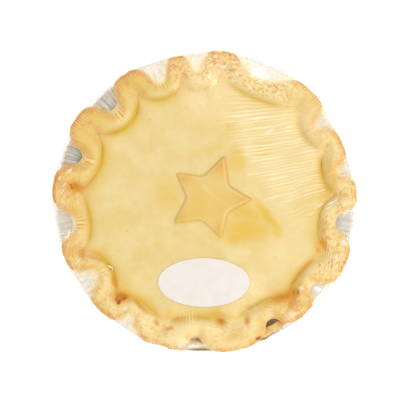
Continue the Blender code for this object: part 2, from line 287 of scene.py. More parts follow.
def tin_profile():
    """Middle of the foil from the first base ring out to the bead, as (radius, height)."""
    floor = TIN_SHEET / 2
    wall_top = np.array(TIN_WALL_TOP)
    bead_centre = np.array((TIN_RIM_RADIUS - TIN_BEAD_RADIUS - floor, TIN_FLANGE_HEIGHT - TIN_BEAD_RADIUS))
    line = [(TIN_FIRST_RADIUS, floor)]
    for ring in TIN_RINGS:
        line.append((ring - TIN_RING_HALF_WIDTH, floor))
        line.append((ring, floor + TIN_RING_HEIGHT))
        line.append((ring + TIN_RING_HALF_WIDTH, floor))
    line.append((TIN_BASE_RADIUS, floor))
    line.append((TIN_BASE_RADIUS + TIN_FOOT_BEND[0], TIN_FOOT_BEND[1]))
    line += [wall_top, wall_top + TIN_THROAT, (wall_top[0] + TIN_FLANGE_START, TIN_FLANGE_HEIGHT)]
    line.append(bead_centre + (0.0, TIN_BEAD_RADIUS))
    curl = bead_centre + plan_points(TIN_BEAD_RADIUS, np.array(TIN_BEAD_TURNS))
    return np.vstack([spaced_out(round_off(line, 3), TIN_ROW_STEP), curl])


def tin_columns_at(radius):
    """Points round a ring of foil, fewer on the plain base."""
    if radius < TIN_PLAIN_RADIUS:
        return TIN_COLUMNS // 8
    return TIN_COLUMNS // 4 if radius < TIN_BASE_RADIUS - 1.0 else TIN_COLUMNS


def foil_pleats(angles, height):
    """Height of the pleats at one level of the foil, from -1 in the valleys to 1 on the ridges."""
    round_x, round_y = plan_points(NOISE_RADIUS, angles).T
    pleats = pleat_wave(angles + 0.25 * smooth_noise(round_x, round_y + height, 9.0, 11), TIN_PLEATS, 12)
    return pleats + 0.35 * smooth_noise(round_x * 3.0, round_y * 3.0 + 2.0 * height, 4.0, 13)


def foil_ring(radius, height, lean):
    """One ring of the foil, pushed in and out, or up and down where it lies flat, by its pleats."""
    count = tin_columns_at(radius)
    angles = ring_angles(count)
    round_x, round_y = plan_points(NOISE_RADIUS, angles).T
    pleats = foil_pleats(angles, height)
    wall_share = fade(height, 1.5, TIN_WALL_TOP[1]) * fade(radius, TIN_BASE_RADIUS, TIN_BASE_RADIUS + 5.0)
    flange_share = fade(radius, TIN_WALL_TOP[0] + 3.0, TIN_RIM_RADIUS - 1.0)
    dents = TIN_DENT_DEPTH * smooth_noise(round_x, round_y + 1.6 * height, 17.0, 14)
    push = (0.5 * TIN_PLEAT_DEPTH * pleats + dents) * wall_share * (1.0 - 0.5 * flange_share)
    knock = TIN_KNOCK_DEPTH * hump(turn_from(angles, TIN_KNOCKED_ANGLE), TIN_KNOCK_WIDTH)
    knock = knock * fade(radius, TIN_RIM_RADIUS - 4.0, TIN_RIM_RADIUS - 1.5)
    pushed_out, pushed_up = push * lean * 0.8 + knock, push * (1.0 - lean) - 0.5 * knock
    points = ring_points(radius + pushed_out, height + pushed_up, count)
    points[:, 2] = np.maximum(points[:, 2], 0.0)
    return points


def add_nodes(tree, kind, **settings):
    """A new shader node with these properties."""
    node = tree.nodes.new(kind)
    for name, value in settings.items():
        setattr(node, name, value)
    return node


def fill_sockets(tree, node, parts):
    """Fill sockets, given by name or number, each with an output to link or with a fixed value."""
    for socket, part in parts.items():
        if isinstance(part, (int, float, tuple)):
            node.inputs[socket].default_value = part
        else:
            tree.links.new(part, node.inputs[socket])


def new_material(name, roughness, metallic=0.0):
    """A material with its node tree and its Principled shader."""
    material = bpy.data.materials.new(name)
    material.use_nodes = True
    shader = material.node_tree.nodes["Principled BSDF"]
    shader.inputs["Roughness"].default_value = roughness
    shader.inputs["Metallic"].default_value = metallic
    return material, material.node_tree, shader


def daylight(red, green, blue):
    """A colour given as display values from 0 to 255, as light values."""
    linear = []
    for value in (red, green, blue):
        share = value / 255.0
        linear.append(share / 12.92 if share <= 0.04045 else ((share + 0.055) / 1.055) ** 2.4)
    return (*linear, 1.0)


def object_place(tree):
    """Places on the piece, in metres."""
    return add_nodes(tree, "ShaderNodeTexCoord").outputs["Object"]


def noise_value(tree, place, scale, detail=3.0, roughness=0.55):
    """Output of a noise texture at this place, whose scale counts features in a metre."""
    noise = add_nodes(tree, "ShaderNodeTexNoise")
    fill_sockets(tree, noise, {"Vector": place, "Scale": scale, "Detail": detail, "Roughness": roughness})
    return noise.outputs["Fac"]


def remap(tree, value, low, high, new_low=0.0, new_high=1.0):
    """The value moved from one range to another and kept inside it."""
    node = add_nodes(tree, "ShaderNodeMapRange")
    fill_sockets(tree, node, {0: value, 1: low, 2: high, 3: new_low, 4: new_high})
    return node.outputs["Result"]


def calculate(tree, operation, first, second=0.0, clamp=False):
    """Two values, each an output or a number, put together."""
    node = add_nodes(tree, "ShaderNodeMath", operation=operation, use_clamp=clamp)
    fill_sockets(tree, node, {0: first, 1: second})
    return node.outputs["Value"]


def product(tree, total, *factors):
    """Several values, each an output or a number, multiplied together."""
    for factor in factors:
        total = calculate(tree, "MULTIPLY", total, factor)
    return total


def blend_colours(tree, share, first, second):
    """Mix of two colours, each an output or light values, by the share of the second."""
    node = add_nodes(tree, "ShaderNodeMix", data_type="RGBA")
    fill_sockets(tree, node, {0: share, 6: first, 7: second})
    return node.outputs[2]


def bump_normal(tree, height, distance, strength=1.0):
    """Normal of a bump of this depth in metres."""
    bump = add_nodes(tree, "ShaderNodeBump")
    fill_sockets(tree, bump, {"Height": height, "Distance": distance, "Strength": strength})
    return bump.outputs["Normal"]


def stored_mask(tree, name):
    """A mask stored at the mesh's points."""
    return add_nodes(tree, "ShaderNodeAttribute", attribute_name=name).outputs["Fac"]


def foil_material():
    """Bright rolled aluminium foil with fine creases, a warm baked tint near the rim and painted shade."""
    material, tree, shader = new_material("pressed_foil", 0.3, 1.0)
    place = object_place(tree)
    cloud = noise_value(tree, place, 60.0)
    crease = noise_value(tree, place, 700.0, 4.0, 0.6)
    clouded = remap(tree, cloud, 0.35, 0.65)
    tone = blend_colours(tree, clouded, daylight(222, 220, 216), daylight(202, 198, 190))
    for mask, colour in FOIL_TONES.items():
        tone = blend_colours(tree, stored_mask(tree, mask), tone, daylight(*colour))
    fill_sockets(tree, shader, {
        "Base Color": tone,
        "Metallic": remap(tree, stored_mask(tree, "burnt_and_shade"), 0.0, 0.7, 1.0, 0.0),
        "Roughness": remap(tree, crease, 0.3, 0.7, 0.26, 0.48),
        "Normal": bump_normal(tree, crease, FOIL_CREASE_DEPTH * MM, 0.6),
    })
    return material


profile = tin_profile()
profile_steps = np.gradient(profile, axis=0)
steepness = np.abs(profile_steps[:, 1]) / np.linalg.norm(profile_steps, axis=1)
under_line = shifted_line(profile, -TIN_SHEET / 2)
upper_line = shifted_line(profile, TIN_SHEET / 2)
tin_rings = [foil_ring(*point, lean) for point, lean in zip(under_line, steepness)]
tin_rings += [foil_ring(*point, lean) for point, lean in zip(upper_line[::-1], steepness[::-1])]
tin_angle = np.concatenate([ring_angles(len(ring)) for ring in tin_rings])
tin_radius = np.concatenate([np.hypot(ring[:, 0], ring[:, 1]) for ring in tin_rings])
tin_toast = np.zeros(len(tin_angle))
for side_angle, spread, strength, begin, end in TOASTED_SIDES:
    tin_toast += strength * hump(tin_angle - side_angle, spread) * fade(tin_radius, begin, end)
tin_x, tin_y, tin_height = np.concatenate(tin_rings).T
# Dark spots: painted shadow in the holes and painted reflection along the bead, with some burnt gravy
tin_burnt_and_shade = patch_share(tin_x, tin_y, BURNT_AND_SHADE_SPOTS, 0.6) * (tin_height > TIN_FLANGE_HEIGHT - 3.0)
tin_levels = np.concatenate([np.full(len(ring), ring[:, 2].mean()) for ring in tin_rings])
# Painted shade: the foil is darkened in the pleats' valleys and on the flange beside the pie
foil_painted_shade = VALLEY_SHADE * fade(foil_pleats(tin_angle, tin_levels), -0.2, -0.9)
foil_painted_shade = foil_painted_shade * fade(tin_radius, *VALLEY_RADII)
shaded = SHADED_SHARES[0] + SHADED_SHARES[1] * hump(tin_angle - SHADED_SIDE[0], SHADED_SIDE[1])
shaded = shaded * fade(tin_radius, *SHADE_COMES) * fade(tin_radius, *SHADE_GOES)
foil_painted_shade = np.maximum(foil_painted_shade, shaded * (0.8 + 0.4 * smooth_noise(tin_x, tin_y, 1.6, 15)))
tin_masks = {"toast": tin_toast, "burnt_and_shade": tin_burnt_and_shade, "painted_shade": foil_painted_shade}
tin_piece = add_rings("foil_tin", tin_rings, foil_material(), tin_masks)
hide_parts("tin")
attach(tin_piece, "root")

# Pie crust
# Shortcrust case, filling and lid baked as one uncut pie. The lid is pressed to the case by hand
# all round, so the rim is a rope that swings out into crests and in round each thumb hollow.
LID_HEIGHT = 41.0
LID_FALL = 4.2
LID_FALL_RADIUS = 90.0
LID_WAVE = 0.45
LID_WAVE_LENGTHS = (14.0, 17.0)
LID_LUMP_DEPTH = 0.35
LID_LUMP_SIZE = 24.0
CREST_SHOULDER = 3.0
CREST_SHOULDER_WIDTH = 17.0
CREASE_DROP = 1.1
CREASE_DROP_WIDTH = 3.6
GROOVE_DEPTH = 0.3
LID_GROOVE_WIDTH = 1.1
ROPE_GROOVE_WIDTH = 0.9
CREASE_GRAVY = 0.05
CREST_BROWNING_WIDTH = 9.0
RIM_MIDDLE_RADIUS = 105.0
RIM_UNEVENNESS = 0.3
DENT_WANDER = 0.8
RIM_WAVE = 0.5
CREST_HEIGHT = 44.5
POCKET_HEIGHT = 43.0
CREST_EDGE_HEIGHT = 40.0
POCKET_EDGE_HEIGHT = 38.0
CREST_UNDERCUT = 1.6
POCKET_SPREAD = 2.6
POCKET_FOOT_DROP = 0.5
CREST_ROUNDNESS = 3.5
POCKET_ROUNDNESS = 2.5
CREASE_ROUNDNESS = 0.7
CASE_SEAT = TIN_FLANGE_HEIGHT + 0.55

# Lumps of the hand-rolled dough, and those of the rim on top of them: height, size and seed
DOUGH_LUMPS = ((0.16, 9.0, 31), (0.07, 3.2, 32), (0.03, 1.3, 33))
RIM_LUMPS = ((0.34, 6.0, 35), (0.18, 2.6, 45))

# Strength and width of the golden line in the crease, and of the halo beside it: butter gold that is partly
# painted shade
CREASE_BUTTER_AND_SHADE = (0.8, 3.4)
CREASE_SHADE_HALO = (0.38, 8.0)
ROPE_CREASE_BUTTER_AND_SHADE = (0.85, 2.2)

# Roundness of the rope on either side of its crown, and relief of its outer side
ROPE_INNER_ROUNDNESS = 0.85
ROPE_OUTER_ROUNDNESS = 0.55
SIDE_BULGE = 0.35
SIDE_LAYER_DEPTH = 0.3

# Golden and brown tones: the share everywhere, and the share in step with the rim's browning
LID_GOLDEN = (0.22, 0.3)
ROPE_GOLDEN = (0.04, 0.3)
LIP_TOAST = (0.3, 0.7)
CROWN_TOAST_AND_SHADE = (0.5, 0.58)
SIDE_TOAST = (0.35, 0.65)
PALE_ROPE = (0.48, -0.36)
RIB_BROWNING = (0.5, 0.5)

# The other tones: the browned lid behind crests, the rope's deepest gold and blotches, its side
LID_TOAST = 0.62
DEEP_GOLDEN = 0.34
BLOTCH_SHARE = 0.12
SIDE_BUTTER = 0.3
SIDE_RIBS = 0.35
SIDE_CRACKLE = 0.8

# The case inside the tin. Across the flange: the largest radius, how far in from the foot, the
# height and the columns from point to point. Down the wall and over the base: radius, height and
# the columns from point to point
CASE_FLANGE_STEPS = ((200.0, 0.3, CASE_SEAT, 1), (99.3, 0.6, CASE_SEAT, 2), (95.2, 0.9, 31.4, 4))
CASE_WALL_STEPS = ((92.4, 28.0, 4), (79.0, 3.0, 4), (76.5, 0.9, 4), (40.0, 0.9, 8))

# Columns round the rim, rows across it and down its side, and over how many columns on either
# side the depth of the crease, the crests, the browning and the fan of the ribs are evened out
PIE_COLUMNS = 1152
BAND_ROWS = 28
SIDE_ROWS = 8
DEPTH_BLUR = 6
CREST_BLUR = 10
BROWNING_BLUR = 14
FAN_BLUR = 8

# The pale or browned lip at the rim's edge, kept pale in the pockets as painted light on its shaded
# slope, and the fine ribs that run in from it
LIP_WIDTH = 4.2
LIP_CREAM_LIGHT = 0.95
RIB_COUNT = 430
RIB_REACH = (9.0, 4.0)
NEAREST_CHUNK = 500
FINE_LINE_SPACING = 0.2

# Each flute, anticlockwise: the angles of the crest's two flanks, its reach and its breadth, then
# the reach and breadth of the pocket after it, in millimetres, and how far the crest and the crease
# are browned, from 0 to 1, which in the crease and on the upper-left crests is partly painted shade
FLUTES = (
    (-3.5, 10.5, 113.5, 15.0, 101.5, 11.0, 0.40, 0.85),
    (15.5, 31.5, 111.5, 14.0, 101.0, 11.0, 0.32, 0.30),
    (36.5, 56.5, 115.0, 15.5, 102.0, 15.0, 0.38, 0.60),
    (75.5, 91.0, 113.5, 17.0, 99.0, 14.5, 0.45, 0.45),
    (96.0, 106.5, 111.0, 18.5, 95.7, 12.0, 0.80, 0.75),
    (114.0, 130.0, 113.0, 17.0, 96.0, 14.0, 1.00, 1.00),
    (138.0, 156.5, 115.0, 19.0, 96.0, 12.5, 1.00, 0.95),
    (164.5, 183.5, 114.0, 18.5, 98.0, 10.5, 0.95, 0.70),
    (193.5, 209.5, 112.5, 14.0, 97.5, 11.5, 0.80, 0.92),
    (217.0, 234.5, 112.5, 16.5, 101.0, 12.0, 0.50, 0.80),
    (239.5, 263.0, 111.5, 13.5, 99.0, 13.0, 0.24, 0.80),
    (269.0, 295.5, 112.5, 19.0, 98.0, 12.5, 0.32, 0.60),
    (302.5, 319.0, 111.5, 18.0, 99.5, 10.5, 0.85, 0.75),
    (325.0, 347.0, 114.5, 18.5, 97.0, 10.5, 0.45, 0.60),
)

# Stretches of the rim that are finely ribbed across: middle angle, half width and strength
RIBBED_STRETCHES = (
    (12.0, 9.0, 0.60),
    (40.0, 15.0, 0.60),
    (110.0, 8.0, 0.50),
    (122.0, 7.0, 0.50),
    (133.0, 11.0, 1.00),
    (147.0, 9.0, 0.80),
    (160.0, 10.0, 1.00),
    (188.0, 9.0, 0.70),
    (213.0, 9.0, 0.50),
    (255.0, 7.0, 0.50),
    (293.0, 6.0, 0.55),
    (311.0, 9.0, 0.45),
    (322.0, 6.0, 0.50),
)

# Stretches whose flaky skin is crackled along the rim: middle angle, half width and strength
CRACKLED_STRETCHES = (
    (3.0, 9.0, 0.48),
    (24.0, 8.0, 0.35),
    (64.0, 13.0, 0.90),
    (84.0, 12.0, 1.00),
    (100.0, 8.0, 0.60),
    (174.0, 11.0, 0.35),
    (201.0, 10.0, 0.40),
    (226.0, 13.0, 0.45),
    (248.0, 10.0, 0.40),
    (282.0, 13.0, 0.30),
    (311.0, 9.0, 0.45),
    (337.0, 13.0, 0.66),
    (351.0, 7.0, 0.62),
)

# Dents in the rim where the dough was pinched: centre, half length and half width, tilt and depth
RIM_DENTS = (
    (-96.0, 11.2, 5.5, 2.6, 6.0, 0.80),
    (-91.0, -37.0, 3.0, 2.6, 30.0, 0.90),
    (-62.5, -70.0, 5.0, 3.6, 20.0, 0.80),
    (-107.5, 17.0, 2.0, 1.2, 55.0, 0.70),
    (12.5, -89.0, 3.6, 3.2, 0.0, 1.00),
    (31.5, -88.0, 2.4, 3.0, 0.0, 0.90),
    (66.5, -68.5, 5.0, 3.2, 40.0, 1.50),
    (61.0, -76.0, 2.6, 6.0, -12.0, 0.90),
    (88.0, -33.0, 3.0, 5.0, 14.0, 1.20),
    (88.0, 26.0, 4.0, 6.0, -10.0, 0.80),
    (79.0, 52.0, 3.0, 5.0, 30.0, 0.50),
    (94.0, 4.0, 5.0, 2.2, 30.0, 0.90),
)

# Butter and gravy that soaked through, whose tints also paint the shade in the rim's creases and
# dents and warm light on its shaded inner flanks: centre, half length and half width in millimetres,
# the tilt in degrees and the strength from 0 to 1
SOAKED_AND_SHADE_PATCHES = (
    (31.0, -21.0, 19.0, 10.0, -6.0, 0.95),
    (31.0, -7.5, 12.0, 8.5, -30.0, 0.88),
    (23.0, -26.0, 8.0, 5.0, 0.0, 0.95),
    (18.0, -100.0, 14.0, 4.0, 8.0, 0.40),
    (46.5, -10.5, 17.0, 3.4, -52.0, 1.00),
    (53.5, -23.0, 3.6, 4.2, 0.0, 0.95),
    (23.0, -9.0, 7.0, 5.0, -20.0, 0.70),
    (12.0, -24.0, 9.0, 5.0, 0.0, 0.45),
    (-28.5, 5.0, 8.5, 13.0, 0.0, 0.46),
    (10.0, 42.0, 11.0, 5.0, 15.0, 0.30),
    (20.0, 55.5, 5.0, 10.0, 0.0, 0.36),
    (24.5, 34.0, 7.0, 12.0, 0.0, 0.66),
    (43.0, 39.0, 9.0, 7.0, 0.0, 0.64),
    (-62.0, -12.0, 9.0, 8.0, 0.0, 0.22),
    (-52.5, -1.0, 2.6, 2.0, -30.0, 0.35),
    (-84.0, 22.0, 7.0, 16.0, 12.0, 0.42),
    (-88.0, 11.0, 7.0, 5.0, 0.0, 0.70),
    (-78.0, -39.0, 13.0, 5.0, -22.0, 0.48),
    (-62.0, -66.0, 9.0, 9.0, -30.0, 0.72),
    (-67.5, -58.0, 2.6, 9.0, 5.0, 0.90),
    (-50.0, -72.0, 9.0, 2.4, -14.0, 0.90),
    (-45.0, -75.0, 15.0, 5.5, -32.0, 0.60),
    (-20.0, -84.0, 14.0, 5.0, -8.0, 0.50),
    (8.0, -84.0, 11.0, 5.0, 0.0, 0.65),
    (31.0, -82.0, 7.0, 6.0, 0.0, 0.45),
    (52.0, -72.0, 15.0, 5.5, 30.0, 0.72),
    (68.0, -64.0, 8.0, 8.0, 45.0, 0.80),
    (86.0, -34.0, 7.0, 12.0, 8.0, 0.70),
    (88.0, 6.0, 5.0, 10.0, -4.0, 0.50),
    (92.0, 7.0, 5.0, 6.5, -30.0, 0.90),
    (86.0, 28.0, 3.0, 14.0, 10.0, 0.70),
    (93.5, 22.0, 5.5, 16.0, 8.0, 0.60),
)
GRAVY_AND_SHADE_SPOTS = (
    (-96.5, 12.0, 6.2, 4.6, 0.0, 0.50),
    (-99.5, 14.1, 0.9, 0.8, 0.0, 0.90),
    (-99.3, 11.8, 0.8, 1.0, 0.0, 0.95),
    (-99.2, 10.0, 1.0, 0.7, 0.0, 0.90),
    (-92.0, -37.4, 2.4, 3.0, 20.0, 0.40),
    (-82.0, -41.5, 8.0, 1.3, -22.0, 0.26),
    (-62.5, -70.2, 7.0, 4.6, -20.0, 0.50),
    (-64.0, -73.6, 3.4, 2.6, 30.0, 0.68),
    (-60.6, -72.0, 3.6, 2.0, 25.0, 0.66),
    (-66.0, -71.5, 1.8, 3.4, -15.0, 0.60),
    (-64.2, -75.0, 1.5, 1.1, 20.0, 0.80),
    (-67.3, -60.0, 1.3, 8.0, 8.0, 0.34),
    (-48.5, -76.5, 9.0, 1.4, -42.0, 0.28),
    (-36.0, -89.5, 2.4, 1.5, -30.0, 0.36),
    (-27.0, -94.0, 3.4, 1.6, 10.0, 0.40),
    (12.0, -89.4, 3.4, 3.8, 0.0, 0.37),
    (12.8, -88.4, 2.4, 0.7, 60.0, 0.55),
    (31.6, -88.2, 2.3, 3.4, 5.0, 0.38),
    (40.0, -100.8, 2.6, 1.4, 28.0, 1.00),
    (32.0, -79.0, 2.6, 0.5, -12.0, 0.35),
    (32.5, -77.2, 2.4, 0.4, -14.0, 0.30),
    (60.0, -69.6, 10.5, 4.2, 22.0, 0.48),
    (67.0, -67.8, 3.6, 3.0, 40.0, 0.50),
    (69.4, -66.8, 1.5, 2.6, 10.0, 0.62),
    (88.6, -32.6, 2.6, 6.4, 14.0, 0.38),
    (83.5, -35.5, 1.6, 3.0, 20.0, 0.30),
    (94.5, 21.0, 2.6, 13.0, 8.0, 0.10),
    (91.0, 7.5, 4.0, 4.5, -30.0, 0.12),
    (88.0, -22.0, 2.4, 13.0, 3.0, 0.15),
    (72.5, -49.5, 15.0, 2.6, 50.0, 0.17),
    (-22.0, -87.5, 11.0, 2.4, -14.0, 0.15),
    (12.0, -84.5, 12.0, 2.4, -8.0, 0.15),
)


def angle_from(angle, start):
    """The angle's distance past the start, going anticlockwise, from 0 to 360."""
    return (angle - start) % 360.0


def flute_landmarks(number):
    """Angles of a crest's middle, the middle of the pocket after it and the next crest's middle."""
    begin, end = FLUTES[number][:2]
    next_begin, next_end = FLUTES[(number + 1) % len(FLUTES)][:2]
    following = begin + angle_from(next_begin, begin)
    return (begin + end) / 2, (end + following) / 2, following + (next_end - next_begin) / 2


def flute_plan(angle):
    """At an angle: the rim's reach, its crease's radius, the crest and arc shares and the browning.

    The crest share is 1 on a crest and 0 in a pocket. The arc share is 1 in the middle of a
    pocket, where the crease is deepest, and 0 in the middle of a crest, where it fades out.
    """
    for number, flute in enumerate(FLUTES):
        middle, pocket, next_middle = flute_landmarks(number)
        here = middle + angle_from(angle, middle)
        if here > next_middle:
            continue
        crest = flute if here <= pocket else FLUTES[(number + 1) % len(FLUTES)]
        crest_middle = middle if here <= pocket else next_middle
        crest_half = (crest[1] - crest[0]) / 2
        from_crest = abs(here - crest_middle)
        from_pocket = abs(here - pocket)
        apart = abs(crest_middle - pocket)
        if from_crest <= crest_half:
            crest_share = 1.0 - 0.5 * (from_crest / crest_half) ** CREST_ROUNDNESS
        else:
            crest_share = 0.5 * (from_pocket / (apart - crest_half)) ** POCKET_ROUNDNESS
        arc_share = max(1.0 - (from_pocket / apart) ** 2, 0.0) ** CREASE_ROUNDNESS
        pocket_reach, pocket_breadth = flute[4:6]
        reach = pocket_reach + (crest[2] - pocket_reach) * crest_share
        crest_crease = crest[2] - crest[3]
        crease = crest_crease + (pocket_reach - pocket_breadth - crest_crease) * arc_share
        return reach, crease, crest_share, arc_share, crest[6], flute[7]
    raise ValueError("no flute covers this angle")


def radius_and_angle(x, y):
    """Distance from the centre, and the angle from 0 to 360 degrees."""
    return np.hypot(x, y), np.degrees(np.arctan2(y, x)) % 360.0


def nearest_point(points, line):
    """Distance from each plan point to the nearest point of a line, and that point's number."""
    distances = np.empty(len(points))
    numbers = np.empty(len(points), dtype=int)
    for start in range(0, len(points), NEAREST_CHUNK):
        chunk = slice(start, start + NEAREST_CHUNK)
        part = points[chunk]
        squares = (part[:, None, 0] - line[None, :, 0]) ** 2 + (part[:, None, 1] - line[None, :, 1]) ** 2
        numbers[chunk] = squares.argmin(axis=1)
        distances[chunk] = np.sqrt(squares.min(axis=1))
    return distances, numbers


def smooth_round(values, reach):
    """Values round the rim, each averaged with its neighbours."""
    total = sum(np.roll(values, shift) for shift in range(-reach, reach + 1))
    return total / (2 * reach + 1)


def stretch_share(angle, stretches):
    """How much of these stretches of the rim lies at an angle."""
    total = np.zeros_like(angle)
    for middle, half_width, strength in stretches:
        total = np.maximum(total, strength * hump(turn_from(angle, middle), half_width, 4))
    return total


def length_round_rim(angle, start=0.0):
    """Length along the middle of the rim from the start to an angle."""
    return np.radians(angle_from(angle, start)) * RIM_MIDDLE_RADIUS


pie_angles = ring_angles(PIE_COLUMNS)
pie_plan = np.array([flute_plan(angle) for angle in pie_angles])
pie_reach, pie_crease, pie_crest, pie_arc, pie_crest_toast, pie_crease_browning_and_shade = pie_plan.T
rim_x, rim_y = plan_points(RIM_MIDDLE_RADIUS, pie_angles).T
pie_reach = pie_reach + RIM_UNEVENNESS * layered_noise(rim_x, rim_y, 4.0, 21)
outer_line = plan_points(pie_reach, pie_angles)
crease_line = plan_points(pie_crease, pie_angles)
crease_start = 0.62 - 0.5 * pie_crease_browning_and_shade
pie_depth = smooth_round(fade(pie_arc, crease_start, crease_start + 0.5), DEPTH_BLUR)
crest_side = smooth_round(1.0 - pie_depth, CREST_BLUR)
rim_toast = smooth_round(pie_crest_toast, BROWNING_BLUR)
crease_browning_and_shade = smooth_round(pie_crease_browning_and_shade, BROWNING_BLUR)
crest_cream = np.clip(1.1 - 1.1 * rim_toast, 0.0, 0.8)


def lid_surface(x, y):
    """Height of the domed lid with its waves and lumps, which rises to a shoulder behind each crest."""
    radius, angle = radius_and_angle(x, y)
    fall = LID_FALL * (x * x + y * y) / LID_FALL_RADIUS**2
    wave = np.sin(x / LID_WAVE_LENGTHS[0] + 0.8) * np.sin(y / LID_WAVE_LENGTHS[1] - 0.5)
    lumps = LID_LUMP_DEPTH * smooth_noise(x, y, LID_LUMP_SIZE, 34)
    gap = np.maximum(np.interp(angle, pie_angles, pie_crease, period=360.0) - radius, 0.0)
    shoulder = CREST_SHOULDER * np.interp(angle, pie_angles, crest_side, period=360.0)
    return LID_HEIGHT - fall + LID_WAVE * wave + lumps + shoulder * hump(gap, CREST_SHOULDER_WIDTH)


crease_height = lid_surface(*crease_line.T) - CREASE_DROP * pie_depth
rim_wave = RIM_WAVE * np.sin(3.0 * np.radians(pie_angles) + 0.7)
band_top = POCKET_HEIGHT + (CREST_HEIGHT - RIM_WAVE + rim_wave - POCKET_HEIGHT) * pie_crest
edge_height = POCKET_EDGE_HEIGHT + (CREST_EDGE_HEIGHT - POCKET_EDGE_HEIGHT) * pie_crest
fine_outer_line = spaced_out(np.vstack([outer_line, outer_line[:1]]), FINE_LINE_SPACING)
fine_line_step = np.linalg.norm(fine_outer_line[1] - fine_outer_line[0])
own_edge_number = nearest_point(outer_line, fine_outer_line)[1]
in_pocket = (1.0 - pie_crest) ** 2
rib_fan = smooth_round(fade(pie_crest, 0.45, 0.1), FAN_BLUR)
ribbed = stretch_share(pie_angles, RIBBED_STRETCHES)
crackled = stretch_share(pie_angles, CRACKLED_STRETCHES)
PASTRY_MASKS = ("toast", "butter", "cream", "gravy", "ribs", "crackle", "rib_x", "rib_y", "rib_along")


def dough_relief(x, y, lumps=DOUGH_LUMPS):
    """Small lumps and dimples of hand-rolled dough."""
    return sum(height * smooth_noise(x, y, size, seed) for height, size, seed in lumps)


def ring_masks(count, **given):
    """Masks of one ring of pastry in the order of PASTRY_MASKS, 0 where none is given."""
    return np.stack([np.broadcast_to(given.get(mask, 0.0), (count,)) for mask in PASTRY_MASKS], axis=1)


def rib_places(edge_number, inward):
    """Places in rib pitches on a drum as long round as the rim, where the ribs are drawn.

    Ribs fan out square to the edge in the pockets and run in towards the middle on the crests.
    """
    count = len(fine_outer_line)
    fan = (edge_number - own_edge_number + count / 2) % count - count / 2
    turn = 2.0 * np.pi * (own_edge_number + fan * rib_fan) / count
    drum, pitch = RIB_COUNT / (2.0 * np.pi), count * fine_line_step / RIB_COUNT
    return {"rib_x": drum * np.cos(turn), "rib_y": drum * np.sin(turn), "rib_along": inward / pitch}


def follow_browning(shares, step=1):
    """The first share everywhere, and the second share added in step with the rim's browning."""
    return shares[0] + shares[1] * rim_toast[::step]


def lid_rings():
    """Rings of the lid from near its middle to just inside the crease."""
    rings, masks = [], []
    levels = [(0.02 * number, 8) for number in range(1, 12)]
    levels += [(0.24 + 0.016 * number, 4) for number in range(17)]
    levels += [(share, 2) for share in np.linspace(0.51, 0.9, 34)]
    levels += [(1.0 - 0.09 * share**1.3, 2) for share in np.linspace(1.0, 0.06, 13)]
    for share, step in levels:
        crease, depth = pie_crease[::step], pie_depth[::step]
        radius = crease * share
        x, y = plan_points(radius, pie_angles[::step]).T
        gap = crease - radius
        drop = CREASE_DROP * hump(gap, CREASE_DROP_WIDTH) + GROOVE_DEPTH * hump(gap, LID_GROOVE_WIDTH)
        rings.append(np.column_stack([x, y, lid_surface(x, y) - drop * depth + dough_relief(x, y)]))
        # Painted shade: the crease's golden line and the halo beside it darken the lid where it dips into the
        # crease
        in_crease = depth * crease_browning_and_shade[::step]
        behind_crest = hump(gap, CREST_BROWNING_WIDTH, 1.5) * crest_side[::step]
        crease_line_and_shade_halo = CREASE_BUTTER_AND_SHADE[0] * hump(gap, CREASE_BUTTER_AND_SHADE[1], 1.5)
        crease_line_and_shade_halo = crease_line_and_shade_halo + CREASE_SHADE_HALO[0] * hump(gap, CREASE_SHADE_HALO[1], 1.6)
        golden = follow_browning(LID_GOLDEN, step) * behind_crest
        masks.append(ring_masks(
            len(x),
            toast=LID_TOAST * rim_toast[::step] ** 2 * behind_crest,
            butter=np.maximum(crease_line_and_shade_halo * in_crease, golden),
            cream=crest_cream[::step] * behind_crest,
            gravy=CREASE_GRAVY * in_crease * hump(gap, 2.0)))
    return rings, masks


def rope_profile(share, flow):
    """Rise of the rope across its width: round in the pockets, and flowing from the lid on crests."""
    inner = np.sin(np.pi * np.clip(share, 0.0, 0.5)) ** ROPE_INNER_ROUNDNESS
    outer = np.sin(np.pi * np.clip(share, 0.5, 1.0)) ** ROPE_OUTER_ROUNDNESS
    rope = np.where(share < 0.5, inner, outer)
    flowing = np.where(share < 0.5, fade(share, -0.1, 0.6), rope)
    return rope * (1.0 - flow) + np.minimum(rope, flowing) * flow


